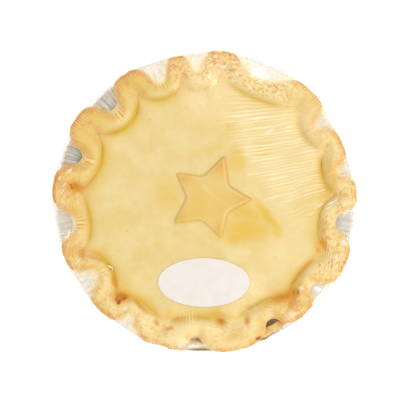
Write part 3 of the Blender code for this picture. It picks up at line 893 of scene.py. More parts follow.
def band_rings():
    """Rings across the rope of the rim, rounded across its own width rather than along the radius."""
    rings, masks = [], []
    flow = smooth_round(1.0 - pie_depth, DEPTH_BLUR)
    for along in np.linspace(0.0, 1.0, BAND_ROWS + 1):
        radius = pie_crease + (pie_reach - pie_crease) * along
        points = plan_points(radius, pie_angles)
        from_edge, edge_number = nearest_point(points, fine_outer_line)
        from_crease = nearest_point(points, crease_line)[0]
        share = from_crease / (from_crease + from_edge)
        base = crease_height + (edge_height - crease_height) * share
        x, y = points.T
        height = base + (band_top - (crease_height + edge_height) / 2) * rope_profile(share, flow)
        height = height + dough_relief(x, y) + dough_relief(x, y, RIM_LUMPS) * fade(from_edge, 0.0, 2.0)
        groove = GROOVE_DEPTH * pie_depth * hump(from_crease, ROPE_GROOVE_WIDTH)
        height = height - groove - patch_share(x, y, RIM_DENTS, DENT_WANDER)
        rings.append(np.column_stack([x, y, height]))
        uneven = 0.8 + 0.5 * smooth_noise(x, y, 5.0, 36) + 0.3 * smooth_noise(x, y, 1.6, 37)
        # Painted light: in the pockets the lip, which lies in shade, is kept pale and cream
        pale_lip_light = (1.0 - 0.9 * in_pocket * hump(from_edge, 2.6, 3)) * (1.0 - 0.8 * in_pocket)
        edge_toast_and_shading = hump(from_edge, LIP_WIDTH, 1.5) * follow_browning(LIP_TOAST) * pale_lip_light
        # Crown browning, made darker on the browned upper-left crests as painted shade
        crown_browning_and_shade = follow_browning(CROWN_TOAST_AND_SHADE) * hump(share - 0.45, 0.42) * crest_side * rim_toast
        # Painted shade: the golden line along the crease on the rope's side
        in_crease = pie_depth * crease_browning_and_shade
        outward = fade(share, 0.15, 0.6) * pie_depth + 1.0 - pie_depth
        blotches = BLOTCH_SHARE * smooth_noise(x, y, 7.0, 40) * fade(from_crease, 0.0, 4.0)
        lit_pocket_lip = in_pocket * hump(from_edge, LIP_WIDTH)
        golden = follow_browning(ROPE_GOLDEN) + DEEP_GOLDEN * rim_toast**2 + blotches
        golden = golden * outward * (1.0 - 0.7 * lit_pocket_lip)
        pale_rope = follow_browning(PALE_ROPE) * pie_depth * hump(share - 0.32, 0.3)
        from_lip = from_edge - 1.8 * in_pocket
        ribs = ribbed * fade(from_lip, -0.8, 0.8) * fade(from_lip, *RIB_REACH)
        masks.append(ring_masks(
            PIE_COLUMNS,
            toast=np.maximum(edge_toast_and_shading, crown_browning_and_shade) * uneven,
            butter=np.maximum(golden, ROPE_CREASE_BUTTER_AND_SHADE[0] * hump(from_crease, ROPE_CREASE_BUTTER_AND_SHADE[1], 1.6) * in_crease),
            cream=np.maximum(np.maximum(crest_cream, pale_rope), LIP_CREAM_LIGHT * lit_pocket_lip),
            gravy=CREASE_GRAVY * in_crease * hump(from_crease, 1.6),
            ribs=ribs * follow_browning(RIB_BROWNING),
            crackle=crackled * fade(from_crease, 1.0, 4.0),
            **rib_places(edge_number, from_edge)))
    return rings, masks


def side_rings(edge_ring):
    """Rings down the rim's outer side, where the baked dough shows its layers."""
    rings, masks = [], []
    for step in range(1, SIDE_ROWS + 1):
        share = step / SIDE_ROWS
        height = edge_ring[:, 2] + (CASE_SEAT - edge_ring[:, 2]) * share
        layers = smooth_noise(3.0 * height + rim_x * 0.2, rim_y * 0.35 + rim_x * 0.35, 1.5, 38)
        layers = SIDE_LAYER_DEPTH * layers * math.sin(math.pi * share) ** 0.5
        bulge = SIDE_BULGE * math.sin(math.pi * share) + layers
        lean = POCKET_SPREAD * in_pocket * share - CREST_UNDERCUT * pie_crest * share**2
        height = height - POCKET_FOOT_DROP * in_pocket * share**4
        rings.append(np.column_stack([plan_points(pie_reach + bulge + lean, pie_angles), height]))
        uneven = 0.75 + 0.3 * smooth_noise(rim_x, rim_y + 4.0 * height, 3.0, 39)
        # Painted light: in the pockets the shaded outer side is kept cream and barely toasted
        masks.append(ring_masks(
            PIE_COLUMNS,
            toast=uneven * follow_browning(SIDE_TOAST) * (1.0 - 0.4 * share) * (0.06 + 0.94 * pie_crest),
            butter=SIDE_BUTTER * pie_crest,
            cream=np.maximum(crest_cream, 1.0 - pie_crest),
            ribs=SIDE_RIBS * ribbed * pie_crest,
            crackle=SIDE_CRACKLE * crackled,
            **rib_places(own_edge_number, -4.0 * share)))
    return rings, masks


def hidden_rings(foot_ring):
    """The case inside the tin: in along the flange, down the wall and across the base."""
    foot = np.hypot(foot_ring[:, 0], foot_ring[:, 1])
    rings = []
    for most, shortfall, height, step in CASE_FLANGE_STEPS:
        inward = np.minimum(np.minimum(foot - shortfall, foot * 0.5 + 51.5), most)
        rings.append(ring_points(inward[::step], height, PIE_COLUMNS // step))
    for radius, height, step in CASE_WALL_STEPS:
        rings.append(ring_points(radius, height, PIE_COLUMNS // step))
    return rings, [ring_masks(len(ring)) for ring in rings]


def new_group(name, inputs, outputs, kind="NodeSocketFloat"):
    """A node group, the outputs of its first node and the last node, whose sockets have this kind."""
    group = bpy.data.node_groups.new(name, "ShaderNodeTree")
    for socket in inputs:
        group.interface.new_socket(socket, in_out="INPUT", socket_type="NodeSocketFloat")
    for socket in outputs:
        group.interface.new_socket(socket, in_out="OUTPUT", socket_type=kind)
    return group, group.nodes.new("NodeGroupInput").outputs, group.nodes.new("NodeGroupOutput")


def pastry_grain_group():
    """Shared by all pastry: the crumbly grain's height and the slow change of its tone."""
    group, given, result = new_group("pastry_grain", ("Grain Size",), ("Height", "Tone"))
    place = object_place(group)
    fine = noise_value(group, place, given["Grain Size"], 5.0, 0.62)
    pits = add_nodes(group, "ShaderNodeTexVoronoi", feature="SMOOTH_F1")
    pit_size = product(group, given["Grain Size"], 0.8)
    fill_sockets(group, pits, {"Vector": place, "Scale": pit_size, "Smoothness": 0.4})
    pitted = product(group, remap(group, pits.outputs["Distance"], 0.05, 0.45), 0.35)
    height, tone = calculate(group, "ADD", fine, pitted), noise_value(group, place, 42.0, 4.0, 0.72)
    fill_sockets(group, result, {"Height": height, "Tone": tone})
    return group


def pastry_colour_group():
    """Shared by all pastry: pale dough, turned golden by butter, tan by the oven, brown by gravy."""
    names = ("Toast", "Butter", "Cream", "Gravy", "Ribs", "Tone", "Height")
    group, given, result = new_group("pastry_colour", names, ("Colour",), "NodeSocketColor")
    speckle = remap(group, given["Height"], 0.35, 0.85, -0.24, 0.24)
    speckled = product(group, calculate(group, "ADD", speckle, 1.0), given["Toast"])
    toast = calculate(group, "ADD", speckled, remap(group, given["Ribs"], 0.0, 1.0), clamp=True)
    flecks = remap(group, given["Height"], 0.4, 0.8, 0.6, 1.35)
    gravy = product(group, given["Gravy"], flecks)
    colour = DOUGH_PALE
    for share, tint in (
        (remap(group, given["Tone"], 0.33, 0.67), DOUGH_GOLD),
        (given["Cream"], DOUGH_CREAM),
        (given["Butter"], BUTTER_GOLD),
        (remap(group, toast, 0.0, 0.5), TOAST_GOLD),
        (remap(group, toast, 0.35, 1.0), TOAST_TAN),
        (remap(group, given["Ribs"], 0.0, -1.0, 0.0, RIB_HIGHLIGHT_SHARE), RIB_CREAM_HIGHLIGHT),
        (remap(group, gravy, 0.0, 0.5), GRAVY_AMBER),
        (remap(group, gravy, 0.5, 0.95), GRAVY_BROWN),
    ):
        colour = blend_colours(group, share, colour, tint)
    fill_sockets(group, result, {"Colour": colour})
    return group


DOUGH_PALE = daylight(225, 206, 149)
DOUGH_CREAM = daylight(240, 219, 164)
DOUGH_GOLD = daylight(220, 191, 119)
BUTTER_GOLD = daylight(217, 182, 50)
TOAST_GOLD = daylight(219, 174, 96)
TOAST_TAN = daylight(207, 144, 60)
GRAVY_AMBER = daylight(214, 146, 32)
GRAVY_BROWN = daylight(134, 60, 8)
# Pale lines between the ribs and flakes: pale dough, partly painted highlights of the film's folds
RIB_CREAM_HIGHLIGHT = daylight(254, 234, 188)
RIB_HIGHLIGHT_SHARE = 0.60
RIB_RELIEF = 0.9
PASTRY_SHINE = 0.28
FLAKE_TURN = 0.3
FLAKE_SPREAD = 1.4
FLAKES_IN_A_METRE = 470.0
pastry_grain = pastry_grain_group()
pastry_colour = pastry_colour_group()


def wandering_wave(tree, place, across, wander):
    """A wave from -1 to 1, one for each unit across, that wanders slowly from side to side."""
    aside = product(tree, noise_value(tree, place, 0.4, 1.0, 0.5), wander)
    turns = product(tree, calculate(tree, "ADD", across, aside), 2.0 * math.pi)
    return calculate(tree, "SINE", turns)


def stretched_place(tree, scales):
    """A place made of stored coordinates, each drawn out by its own scale."""
    join = add_nodes(tree, "ShaderNodeCombineXYZ")
    for number, (name, scale) in enumerate(scales.items()):
        fill_sockets(tree, join, {number: product(tree, stored_mask(tree, name), scale)})
    return join.outputs["Vector"]


def place_step(tree, operation, parts, output="Vector"):
    """Places, given with the numbers of their sockets, put together or changed in one way."""
    node = add_nodes(tree, "ShaderNodeVectorMath", operation=operation)
    fill_sockets(tree, node, parts)
    return node.outputs[output]


def place_round_rim(tree, place):
    """The place bent round the rim, drawn out along it and pressed together across it."""
    flat = place_step(tree, "MULTIPLY", {0: place, 1: (1.0, 1.0, 0.0)})
    outward = place_step(tree, "NORMALIZE", {0: flat})
    length = place_step(tree, "LENGTH", {0: flat}, "Value")
    apart = add_nodes(tree, "ShaderNodeSeparateXYZ")
    fill_sockets(tree, apart, {"Vector": place})
    height = calculate(tree, "ADD", apart.outputs["Z"], FLAKE_TURN * RIM_MIDDLE_RADIUS * MM)
    across = add_nodes(tree, "ShaderNodeCombineXYZ")
    fill_sockets(tree, across, {"Z": product(tree, length, FLAKE_SPREAD)})
    around = place_step(tree, "SCALE", {0: outward, 3: height})
    return place_step(tree, "ADD", {0: around, 1: across.outputs["Vector"]})


def rib_lines(tree):
    """Fine ribs across the rim and flaky crackle along it, 1 where browned and -1 where pale, partly as
    painted highlight.
    """
    place = stretched_place(tree, {"rib_x": 1.0, "rib_y": 1.0, "rib_along": 0.12})
    turn = calculate(tree, "ARCTAN2", stored_mask(tree, "rib_y"), stored_mask(tree, "rib_x"))
    wave = wandering_wave(tree, place, product(tree, turn, RIB_COUNT / (2.0 * math.pi)), 0.9)
    wave = remap(tree, wave, -1.0, 1.0, -0.6, 1.0)
    uneven = remap(tree, noise_value(tree, place, 0.7, 2.0, 0.5), 0.33, 0.6, 0.45, 1.0)
    ribs = product(tree, wave, uneven, stored_mask(tree, "ribs"))
    crust_place = object_place(tree)
    flake_noise = noise_value(tree, place_round_rim(tree, crust_place), FLAKES_IN_A_METRE, 2.0, 0.6)
    flakes = remap(tree, flake_noise, 0.36, 0.62, -1.0, 0.78)
    patchy = remap(tree, noise_value(tree, crust_place, 150.0, 1.0, 0.5), 0.38, 0.6, 0.25, 1.15)
    return calculate(tree, "ADD", ribs, product(tree, flakes, patchy, stored_mask(tree, "crackle")))


def pastry_material(name, grain_size, grain_depth, ribbed=False):
    """Baked pastry, matt with a faint egg glaze, whose masks are stored at its points."""
    material, tree, shader = new_material(name, 0.5)
    grain = add_nodes(tree, "ShaderNodeGroup", node_tree=pastry_grain)
    grain.inputs["Grain Size"].default_value = grain_size
    colour = add_nodes(tree, "ShaderNodeGroup", node_tree=pastry_colour)
    fill_sockets(tree, colour, {output: grain.outputs[output] for output in ("Tone", "Height")})
    for mask in ("Toast", "Butter", "Cream", "Gravy"):
        fill_sockets(tree, colour, {mask: stored_mask(tree, mask.lower())})
    relief = grain.outputs["Height"]
    if ribbed:
        ribs = rib_lines(tree)
        fill_sockets(tree, colour, {"Ribs": ribs})
        relief = calculate(tree, "SUBTRACT", relief, product(tree, ribs, RIB_RELIEF))
    shader.inputs["Specular IOR Level"].default_value = PASTRY_SHINE
    fill_sockets(tree, shader, {
        "Base Color": colour.outputs["Colour"],
        "Roughness": remap(tree, grain.outputs["Height"], 0.3, 0.9, 0.62, 0.45),
        "Normal": bump_normal(tree, relief, grain_depth * MM, 0.8),
    })
    return material


crust_rings, crust_masks = lid_rings()
rope_rings, rope_masks = band_rings()
outer_rings, outer_masks = side_rings(rope_rings[-1])
inner_rings, inner_masks = hidden_rings(outer_rings[-1])
crust_rings += rope_rings + outer_rings + inner_rings
crust_masks = np.concatenate(crust_masks + rope_masks + outer_masks + inner_masks)
crust_x, crust_y = np.concatenate(crust_rings)[:, :2].T
crust_mask = dict(zip(PASTRY_MASKS, crust_masks.T))
# Butter and gravy soaks, whose tints also paint shade in the rim's creases and dents and warm light on its
# shaded flanks
soaked_and_shade = patch_share(crust_x, crust_y, SOAKED_AND_SHADE_PATCHES)
crust_mask["toast"] = np.clip(crust_mask["toast"] + 0.12 * soaked_and_shade, 0.0, 1.0)
crust_mask["butter"] = np.clip(np.maximum(crust_mask["butter"], soaked_and_shade), 0.0, 1.0)
crust_mask["gravy"] = np.maximum(crust_mask["gravy"], patch_share(crust_x, crust_y, GRAVY_AND_SHADE_SPOTS, 0.8))
crust_material = pastry_material("baked_crust", 900.0, 0.14, ribbed=True)
crust = add_rings("pie_crust", crust_rings, crust_material, crust_mask)
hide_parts("pie")
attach(crust, "root")

# Edge of the case
# The case's own pastry edge lies on the flange under the lid. It peeps out where the thumb
# hollows are deepest on the near side, with a small gap between it and the lid.
CASE_EDGE_HEIGHT = 35.2
CASE_EDGE_SEAT = TIN_FLANGE_HEIGHT + 0.5
CASE_EDGE_UNEVENNESS = 0.7
CASE_EDGE_PARTS = (
    (239.0, 262.5, 106.0, 113.2),
    (259.0, 277.0, 102.8, 106.2),
    (285.0, 303.5, 103.9, 110.6),
)
CASE_EDGE_SPACING = 0.8
CASE_EDGE_TURNS = np.arange(180.0, -180.0, -22.5)
LEAK_SPOT = ((40.6, -102.4, 2.4, 0.9, 28.0, 1.0),)


def case_edge(name, start, end, inner, outer):
    """A wavy strip of pastry that lies on the flange between two angles."""
    columns = int(math.radians(end - start) * outer / CASE_EDGE_SPACING)
    angles = np.linspace(start, end, columns)
    ends = np.sqrt(np.sin(np.pi * np.linspace(0.02, 0.98, columns)))
    middle = (inner + outer) / 2
    across_half = (outer - inner) / 2 * (0.35 + 0.65 * ends)
    edge_x, edge_y = plan_points(middle, angles).T
    inner_radius = middle - across_half + CASE_EDGE_UNEVENNESS * layered_noise(edge_x, edge_y, 4.0, 51)
    outer_radius = middle + across_half + CASE_EDGE_UNEVENNESS * layered_noise(edge_x, edge_y, 5.0, 53)
    top = CASE_EDGE_HEIGHT + 0.5 * smooth_noise(edge_x, edge_y, 7.0, 55)
    loops = []
    for turn in np.radians(CASE_EDGE_TURNS):
        radius = (inner_radius + outer_radius) / 2 + (outer_radius - inner_radius) / 2 * math.cos(turn)
        rise = math.sin(turn)
        half = (top - CASE_EDGE_SEAT) / 2
        height = CASE_EDGE_SEAT + half + half * math.copysign(abs(rise) ** 0.6, rise)
        x, y = plan_points(radius, angles).T
        height = height + 0.12 * smooth_noise(x, y, 2.0, 56) * (rise > 0.0)
        loops.append(np.column_stack([x, y, height]))
    rings = list(np.stack(loops).transpose(1, 0, 2))
    x, y, _ = np.concatenate(rings).T
    toast = np.clip(0.3 + 0.5 * layered_noise(x, y, 4.0, 57), 0.0, 1.0)
    masks = {"toast": toast, "butter": 0.3 + 0.4 * toast, "gravy": patch_share(x, y, LEAK_SPOT)}
    return add_rings(name, rings, crust_material, masks)


for number, part in enumerate(CASE_EDGE_PARTS):
    edge_piece = case_edge("case_edge_%d" % number, *part)
    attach(edge_piece, "root")

# Crumbs
# Flakes and crumbs of the crust that broke off as the film was drawn over the pie and are held
# under it: one on the lid beside the rim, a scrap at the near side and some finer ones.
CRUMB_SEED = 5
CRUMB_SINK = 0.25
CRUMB_COLUMNS = 40
CRUMB_ROWS = 14

# Each crumb: centre, half length, half width and height in millimetres, its tilt in degrees and
# how toasted it is
CRUMBS = (
    (-70.9, -48.0, 2.3, 1.1, 1.3, -28.0, 0.05),
    (-73.6, -47.2, 0.9, 0.6, 0.8, 10.0, 0.10),
    (-69.2, -50.4, 1.3, 0.5, 0.7, 55.0, 0.15),
    (-92.4, 0.8, 1.6, 0.5, 0.6, 35.0, 0.45),
    (15.5, 31.0, 0.7, 0.4, 0.5, 20.0, 0.30),
    (-41.0, 62.0, 0.6, 0.5, 0.4, 70.0, 0.40),
    (-58.0, -21.0, 0.7, 0.4, 0.4, 0.0, 0.55),
    (52.5, -41.0, 0.6, 0.4, 0.4, -40.0, 0.45),
    (38.0, 66.0, 0.8, 0.5, 0.5, 15.0, 0.25),
    (-14.0, 71.0, 0.6, 0.5, 0.4, 15.0, 0.50),
    (67.0, 12.0, 0.6, 0.4, 0.4, -20.0, 0.35),
)


def crumb_rings(centre_x, centre_y, half_length, half_width, thick, tilt, seed):
    """Rings from the top of a rough crumb down to its underside, which lies on the lid."""
    angles = ring_angles(CRUMB_COLUMNS)
    turn, lean = np.radians(angles), math.radians(tilt)
    rough_x, rough_y = plan_points(2.0, angles).T
    outline = 1.0 + 0.22 * layered_noise(rough_x, rough_y, 1.5, seed)
    rings = []
    for level in np.linspace(0.1, 0.9, CRUMB_ROWS):
        swell = math.sin(math.pi * level) ** 0.55
        rise = math.cos(math.pi * level)
        along = half_length * outline * swell * np.cos(turn)
        across = half_width * outline * swell * np.sin(turn)
        x = centre_x + along * math.cos(lean) - across * math.sin(lean)
        y = centre_y + along * math.sin(lean) + across * math.cos(lean)
        crags = 0.16 * thick * smooth_noise(x * 2.0, y * 2.0 + 3.0 * level, 1.0, seed + 2)
        height = lid_surface(x, y) + dough_relief(x, y) + thick * (0.5 + 0.5 * rise - CRUMB_SINK) + crags
        rings.append(np.column_stack([x, y, height]))
    return rings


for number, (*crumb_form, crumb_toast) in enumerate(CRUMBS):
    one_crumb = crumb_rings(*crumb_form, CRUMB_SEED * (number + 1))
    count = sum(len(ring) for ring in one_crumb)
    crumb_masks = {"toast": np.full(count, crumb_toast), "cream": np.full(count, 0.9 - crumb_toast)}
    crumb = add_rings("crumb_%d" % number, one_crumb, crust_material, crumb_masks)
    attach(crumb, "root")

# Pastry star
# A five-pointed star cut from the same dough and laid on the lid before baking. Its edges baked
# round and pale, the tips took the most colour, and a faint fold crosses it. Its right-hand edges
# are darkened with painted shade.
STAR_CENTRE = (3.5, 3.0)
STAR_TIP_RADII = (30.5, 32.8, 30.5, 31.7, 30.5)
STAR_NOTCH_RADIUS = 17.8
STAR_TIP_ROUNDING = 1.6
STAR_NOTCH_ROUNDING = 0.6
STAR_TURN = -1.5
STAR_THICKNESS = 2.8
STAR_EDGE_WIDTH = 4.2
STAR_CORNER_CUT = 3.6
STAR_LIFT = 0.1
STAR_SIDE_STEPS = 46
STAR_FOLD = ((-6.0, 9.5), (11.5, -4.5))
STAR_FOOT = ((1.014, 0.08), (1.034, 0.02), (1.036, 0.0), (0.9, 0.0))


def star_corners():
    """The star's ten corners about its own centre, before they are rounded."""
    corners = []
    for index in range(10):
        radius = STAR_NOTCH_RADIUS - STAR_NOTCH_ROUNDING
        if index % 2 == 0:
            radius = STAR_TIP_RADII[index // 2] + STAR_TIP_ROUNDING
        corners.append(plan_points(radius, STAR_TURN + 36.0 * index))
    return np.array(corners)


def star_outline():
    """The star's rounded outline, evenly spaced and with slightly hollow sides."""
    corners = star_corners()
    line = []
    for index in range(10):
        before, here, after = corners[index - 1], corners[index], corners[(index + 1) % 10]
        back = (before - here) / np.linalg.norm(before - here)
        ahead = (after - here) / np.linalg.norm(after - here)
        start, end = here + back * STAR_CORNER_CUT, here + ahead * STAR_CORNER_CUT
        for share in np.linspace(0.0, 1.0, 7):
            line.append(start * (1.0 - share) ** 2 + here * 2.0 * share * (1.0 - share) + end * share**2)
    closed = np.array(line + line[:1])
    length = np.linalg.norm(np.diff(closed, axis=0), axis=1).sum()
    return spaced_out(closed, length / (len(corners) * STAR_SIDE_STEPS))[:-1]


def distance_to_segment(x, y, start, end):
    """Distance from plan positions to a straight stretch."""
    direction = np.subtract(end, start)
    along = ((x - start[0]) * direction[0] + (y - start[1]) * direction[1]) / float(direction @ direction)
    along = np.clip(along, 0.0, 1.0)
    return np.hypot(x - start[0] - along * direction[0], y - start[1] - along * direction[1])


def star_rings(outline):
    """Rings from the star's middle out over its round edge and down to the lid."""
    rings, masks = [], []
    # Painted shade: the edge is darkened most on the star's right side
    right_side_shade = 0.5 + 0.5 * np.sin(np.arctan2(outline[:, 1], outline[:, 0]) + 1.2)
    edge_toast_and_shading = 0.36 * right_side_shade**2
    inward = [0.04 * step for step in range(1, 20)] + list(1.0 - 0.2 * np.linspace(1.0, 0.0, 14) ** 1.4)
    for scale in inward:
        x, y = outline[:, 0] * scale, outline[:, 1] * scale
        inside = nearest_point(np.stack([x, y], axis=1), outline)[0]
        rounding = (1.0 - (1.0 - np.clip(inside / STAR_EDGE_WIDTH, 0.0, 1.0)) ** 2) ** 0.85
        thick = STAR_THICKNESS * (0.14 + 0.86 * rounding) + 0.16 * fade(inside, 5.0, 1.5) * rounding
        fold = distance_to_segment(x, y, *STAR_FOLD)
        pie_x, pie_y = x + STAR_CENTRE[0], y + STAR_CENTRE[1]
        height = lid_surface(pie_x, pie_y) + 0.8 * dough_relief(pie_x, pie_y)
        height = height + STAR_LIFT + thick + 0.22 * hump(fold, 1.3)
        rings.append(np.column_stack([pie_x, pie_y, height]))
        tips = fade(np.hypot(x, y), 15.0, 29.0)
        pale_edge = hump(inside - 1.9, 0.8)
        toast = 0.16 + 0.3 * tips * fade(inside, 0.8, 2.6) + 0.1 * smooth_noise(x, y, 8.0, 61)
        toast = toast + edge_toast_and_shading * hump(inside, 0.7) - 0.2 * hump(fold, 1.6) - 0.25 * pale_edge
        butter = 0.42 + 0.5 * tips + 0.15 * smooth_noise(x, y, 10.0, 62) - 0.3 * pale_edge
        masks.append(np.column_stack([toast, butter * fade(inside, -1.5, 1.5)]))
    for scale, level in STAR_FOOT:
        x, y = outline[:, 0] * scale + STAR_CENTRE[0], outline[:, 1] * scale + STAR_CENTRE[1]
        height = lid_surface(x, y) + dough_relief(x, y) + STAR_THICKNESS * level
        rings.append(np.column_stack([x, y, height]))
        masks.append(np.column_stack([edge_toast_and_shading, np.full(len(x), 0.3)]))
    return rings, np.clip(np.concatenate(masks), 0.0, 1.0)


star_line = star_outline()
star_all_rings, star_masks = star_rings(star_line)
star_material = pastry_material("star_pastry", 800.0, 0.12)
star_mask = dict(zip(("toast", "butter"), star_masks.T))
star_piece = add_rings("pastry_star", star_all_rings, star_material, star_mask)
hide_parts("star")
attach(star_piece, "root")

# Clear film
# Thin stretch film drawn tight over the pie and heat shrunk. It clings to the lid, bridges the
# creases and hollows, gathers in fine pleats over the rim and is tucked in at the tin's foot.
FILM_GRID_STEP = 1.0
FILM_GRID_HALF = 142.0
FILM_LIFT = 0.25
FILM_LID_BEND = 11.0
FILM_RIM_BEND = 46.0
FILM_BALL_REACH = 26.0
FILM_SOFTENINGS = 3
FILM_CLEARANCE = 0.7
FILM_SHOULDER = 2.6
FILM_SHOULDER_HALF_WIDTH = 1.5
FILM_POCKET_SAG = 0.9
FILM_RIM_GAP = 1.2
FILM_HEM_RADIUS = 84.5
FILM_HEM_HEIGHT = 3.0
FILM_SKIRT_ROWS = 17
FILM_COLUMNS = 960
FOLD_HEIGHT = 0.32
FILM_SHADE = 0.2
FILM_SHINE = 0.9
FILM_CREASE_DEPTH = 0.12
FOLD_SEAM_ANGLE = 292.0
STREAK_PITCH = 2.9
STREAK_FAR = 76.0
STREAK_DEPTH = 95.0
STREAK_SLOPES = (3.0, 14.0)
STREAK_PIVOT = 15.0
STREAK_STARTS = ((-7.5, 6.0, 22.0, 37.0, 43.0, 60.0), (57.0, 46.0, 33.0, 26.4, 19.7, 14.0))
CRINKLE_PITCH = 1.9
MOST_HAZE = 0.95
NEAR_RIM_RADIUS = 84.0
FAR_INSIDE = 50.0
FILM_WARM = daylight(250, 230, 182)
FILM_COLD = daylight(240, 231, 216)
PAINTED_GLINT_WHITE = daylight(254, 250, 238)
FILM_MASKS = ("haze", "pale", "folds", "fold_across", "fold_along")

# How whitish the film is beside the rim and down its skirt: all of it, its gathers and its waves
NECK_HAZE = (0.12, 0.08, 0.06)
SKIRT_HAZE = (0.2, 0.2, 0.1)

# Stretches of the rim where the film is most crinkled: middle angle, half width and strength
CRINKLED_STRETCHES = (
    (4.0, 9.0, 0.70),
    (22.0, 7.0, 0.50),
    (38.0, 8.0, 0.60),
    (62.0, 9.0, 0.60),
    (80.0, 11.0, 0.60),
    (100.0, 6.0, 0.50),
    (133.0, 9.0, 0.35),
    (150.0, 7.0, 0.25),
    (172.0, 11.0, 0.20),
    (198.0, 9.0, 0.65),
    (226.0, 13.0, 0.80),
    (250.0, 10.0, 0.60),
    (282.0, 10.0, 0.35),
    (311.0, 9.0, 0.60),
    (337.0, 12.0, 0.72),
)

# Places with straight pleats: centre, direction, half length and half width, pitch and strength
PLEAT_PLACES = (
    ((-4.0, 77.0), -52.0, (7.0, 8.0), 1.7, 0.60),
    ((9.0, 82.0), -40.0, (8.0, 7.0), 1.7, 0.60),
    ((37.0, -70.0), -50.0, (12.0, 8.0), 2.2, 0.85),
    ((44.0, -77.0), -12.0, (9.0, 6.0), 1.9, 0.90),
    ((32.0, -76.0), -8.0, (5.0, 6.0), 1.7, 0.75),
    ((-13.0, -91.0), 90.0, (14.0, 6.0), 2.0, 0.85),
    ((-19.0, -100.0), 56.0, (9.0, 7.0), 1.8, 0.75),
    ((73.0, -8.0), 16.0, (14.0, 9.0), 3.0, 0.45),
    ((96.0, -42.0), 80.0, (15.0, 9.0), 2.0, 1.00),
    ((98.0, -3.0), 27.0, (14.0, 4.5), 1.8, 1.00),
    ((-108.0, 5.0), 66.0, (9.0, 6.5), 1.4, 1.00),
    ((-66.0, -79.0), 60.0, (7.0, 8.0), 1.5, 0.70),
    ((-97.0, -45.0), 52.0, (9.0, 7.0), 1.9, 0.75),
    ((84.0, 70.0), -30.0, (12.0, 6.0), 2.2, 0.55),
)

# Where the film outside the pastry is whitish, partly haze and partly painted glare: middle angle,
# half width and strength
VEIL_AND_GLARE_STRETCHES = (
    (133.0, 9.0, 0.10),
    (13.0, 6.0, 0.45),
    (34.0, 7.0, 0.50),
    (66.0, 14.0, 0.84),
    (93.0, 6.0, 0.86),
    (110.0, 7.0, 0.80),
    (188.0, 9.0, 0.30),
    (213.0, 9.0, 0.68),
    (237.0, 7.0, 0.68),
    (322.0, 8.0, 0.22),
    (351.0, 9.0, 0.10),
)

# Where the dark spots on the tin, painted shade and reflection with some burnt gravy, are seen
# clear through the film
CLEAR_PATCHES = [(x, y, length + 2.0, width + 1.4, tilt, 1.0) for x, y, length, width, tilt, _ in BURNT_AND_SHADE_SPOTS]

# Patches of whitish film, partly haze and partly painted glare, as the soaked patches are given: over
# the pastry, then outside it
FILM_HAZE_AND_GLARE_PATCHES = (
    (2.0, 80.0, 22.0, 24.0, 0.0, 0.32),
    (30.0, 64.0, 18.0, 14.0, -20.0, 0.16),
    (48.0, 42.0, 30.0, 34.0, 0.0, 0.14),
    (58.0, -36.0, 20.0, 14.0, 20.0, 0.26),
    (36.0, -60.0, 12.0, 10.0, 0.0, 0.28),
    (58.0, 2.0, 12.0, 20.0, 10.0, 0.10),
    (14.0, 95.0, 20.0, 5.0, -8.0, 0.10),
    (-6.5, -107.5, 9.5, 3.0, 2.0, 0.95),
    (-17.0, -104.0, 5.0, 4.0, 40.0, 0.60),
    (62.5, -84.5, 5.0, 2.0, 35.0, 0.50),
    (67.0, -91.5, 6.0, 3.0, 38.0, 0.85),
)

# Painted glints, bright where a fold would face the lights, as the soaked patches are given
PAINTED_FILM_GLINTS = (
    (-100.2, 23.8, 2.2, 1.0, 35.0, 1.00),
    (-107.7, 17.9, 1.5, 0.8, 60.0, 0.85),
    (-104.0, 13.4, 1.8, 0.7, 55.0, 0.80),
    (-101.5, -23.4, 3.2, 0.8, 80.0, 1.00),
    (-93.0, -21.0, 1.5, 0.7, 60.0, 0.60),
    (-59.2, -79.0, 1.7, 1.0, 40.0, 1.00),
    (72.0, -64.2, 2.1, 1.3, 70.0, 1.00),
    (95.0, 0.5, 4.2, 0.9, 26.0, 1.00),
    (86.0, -1.5, 3.2, 0.7, 30.0, 0.80),
    (104.0, -30.0, 4.2, 1.8, -55.0, 0.80),
    (106.0, -48.0, 3.4, 1.2, 62.0, 0.80),
    (98.0, -62.0, 4.0, 1.3, 58.0, 0.70),
    (-6.0, -106.5, 9.0, 2.6, 2.0, 0.90),
    (47.5, 52.5, 4.5, 1.5, 24.0, 0.60),
    (41.0, 63.5, 6.0, 1.2, 8.0, 0.55),
    (33.0, 21.0, 3.4, 1.0, 22.0, 0.55),
    (50.0, 33.0, 6.0, 0.9, 12.0, 0.45),
    (70.0, 66.0, 4.0, 0.8, -25.0, 0.50),
    (14.0, 101.0, 4.0, 0.9, 20.0, 0.70),
    (26.0, 98.0, 3.0, 0.8, 15.0, 0.60),
)


def film_shoulder_at(angles):
    """Reach and height of the film's shoulder, which runs almost straight from one crest to the next."""
    marks, shoulders = [], []
    for number, flute in enumerate(FLUTES):
        middle, pocket, _ = flute_landmarks(number)
        half = (flute[1] - flute[0]) / 2
        next_reach = FLUTES[(number + 1) % len(FLUTES)][2]
        marks += [middle - 0.6 * half, middle + 0.6 * half, pocket]
        shoulders += 2 * [(flute[2], CREST_EDGE_HEIGHT)]
        shoulders.append(((flute[2] + next_reach) / 2 - FILM_POCKET_SAG, POCKET_EDGE_HEIGHT))
    reach, height = [np.interp(angles, marks, part, period=360.0) for part in zip(*shoulders)]
    return np.maximum(reach + FILM_CLEARANCE, TIN_RIM_RADIUS + FILM_POCKET_SAG), height + FILM_CLEARANCE


film_angles = ring_angles(FILM_COLUMNS)
film_reach = smooth_round(film_shoulder_at(film_angles)[0], 3)
film_crease = np.array([flute_plan(angle)[1] for angle in film_angles])


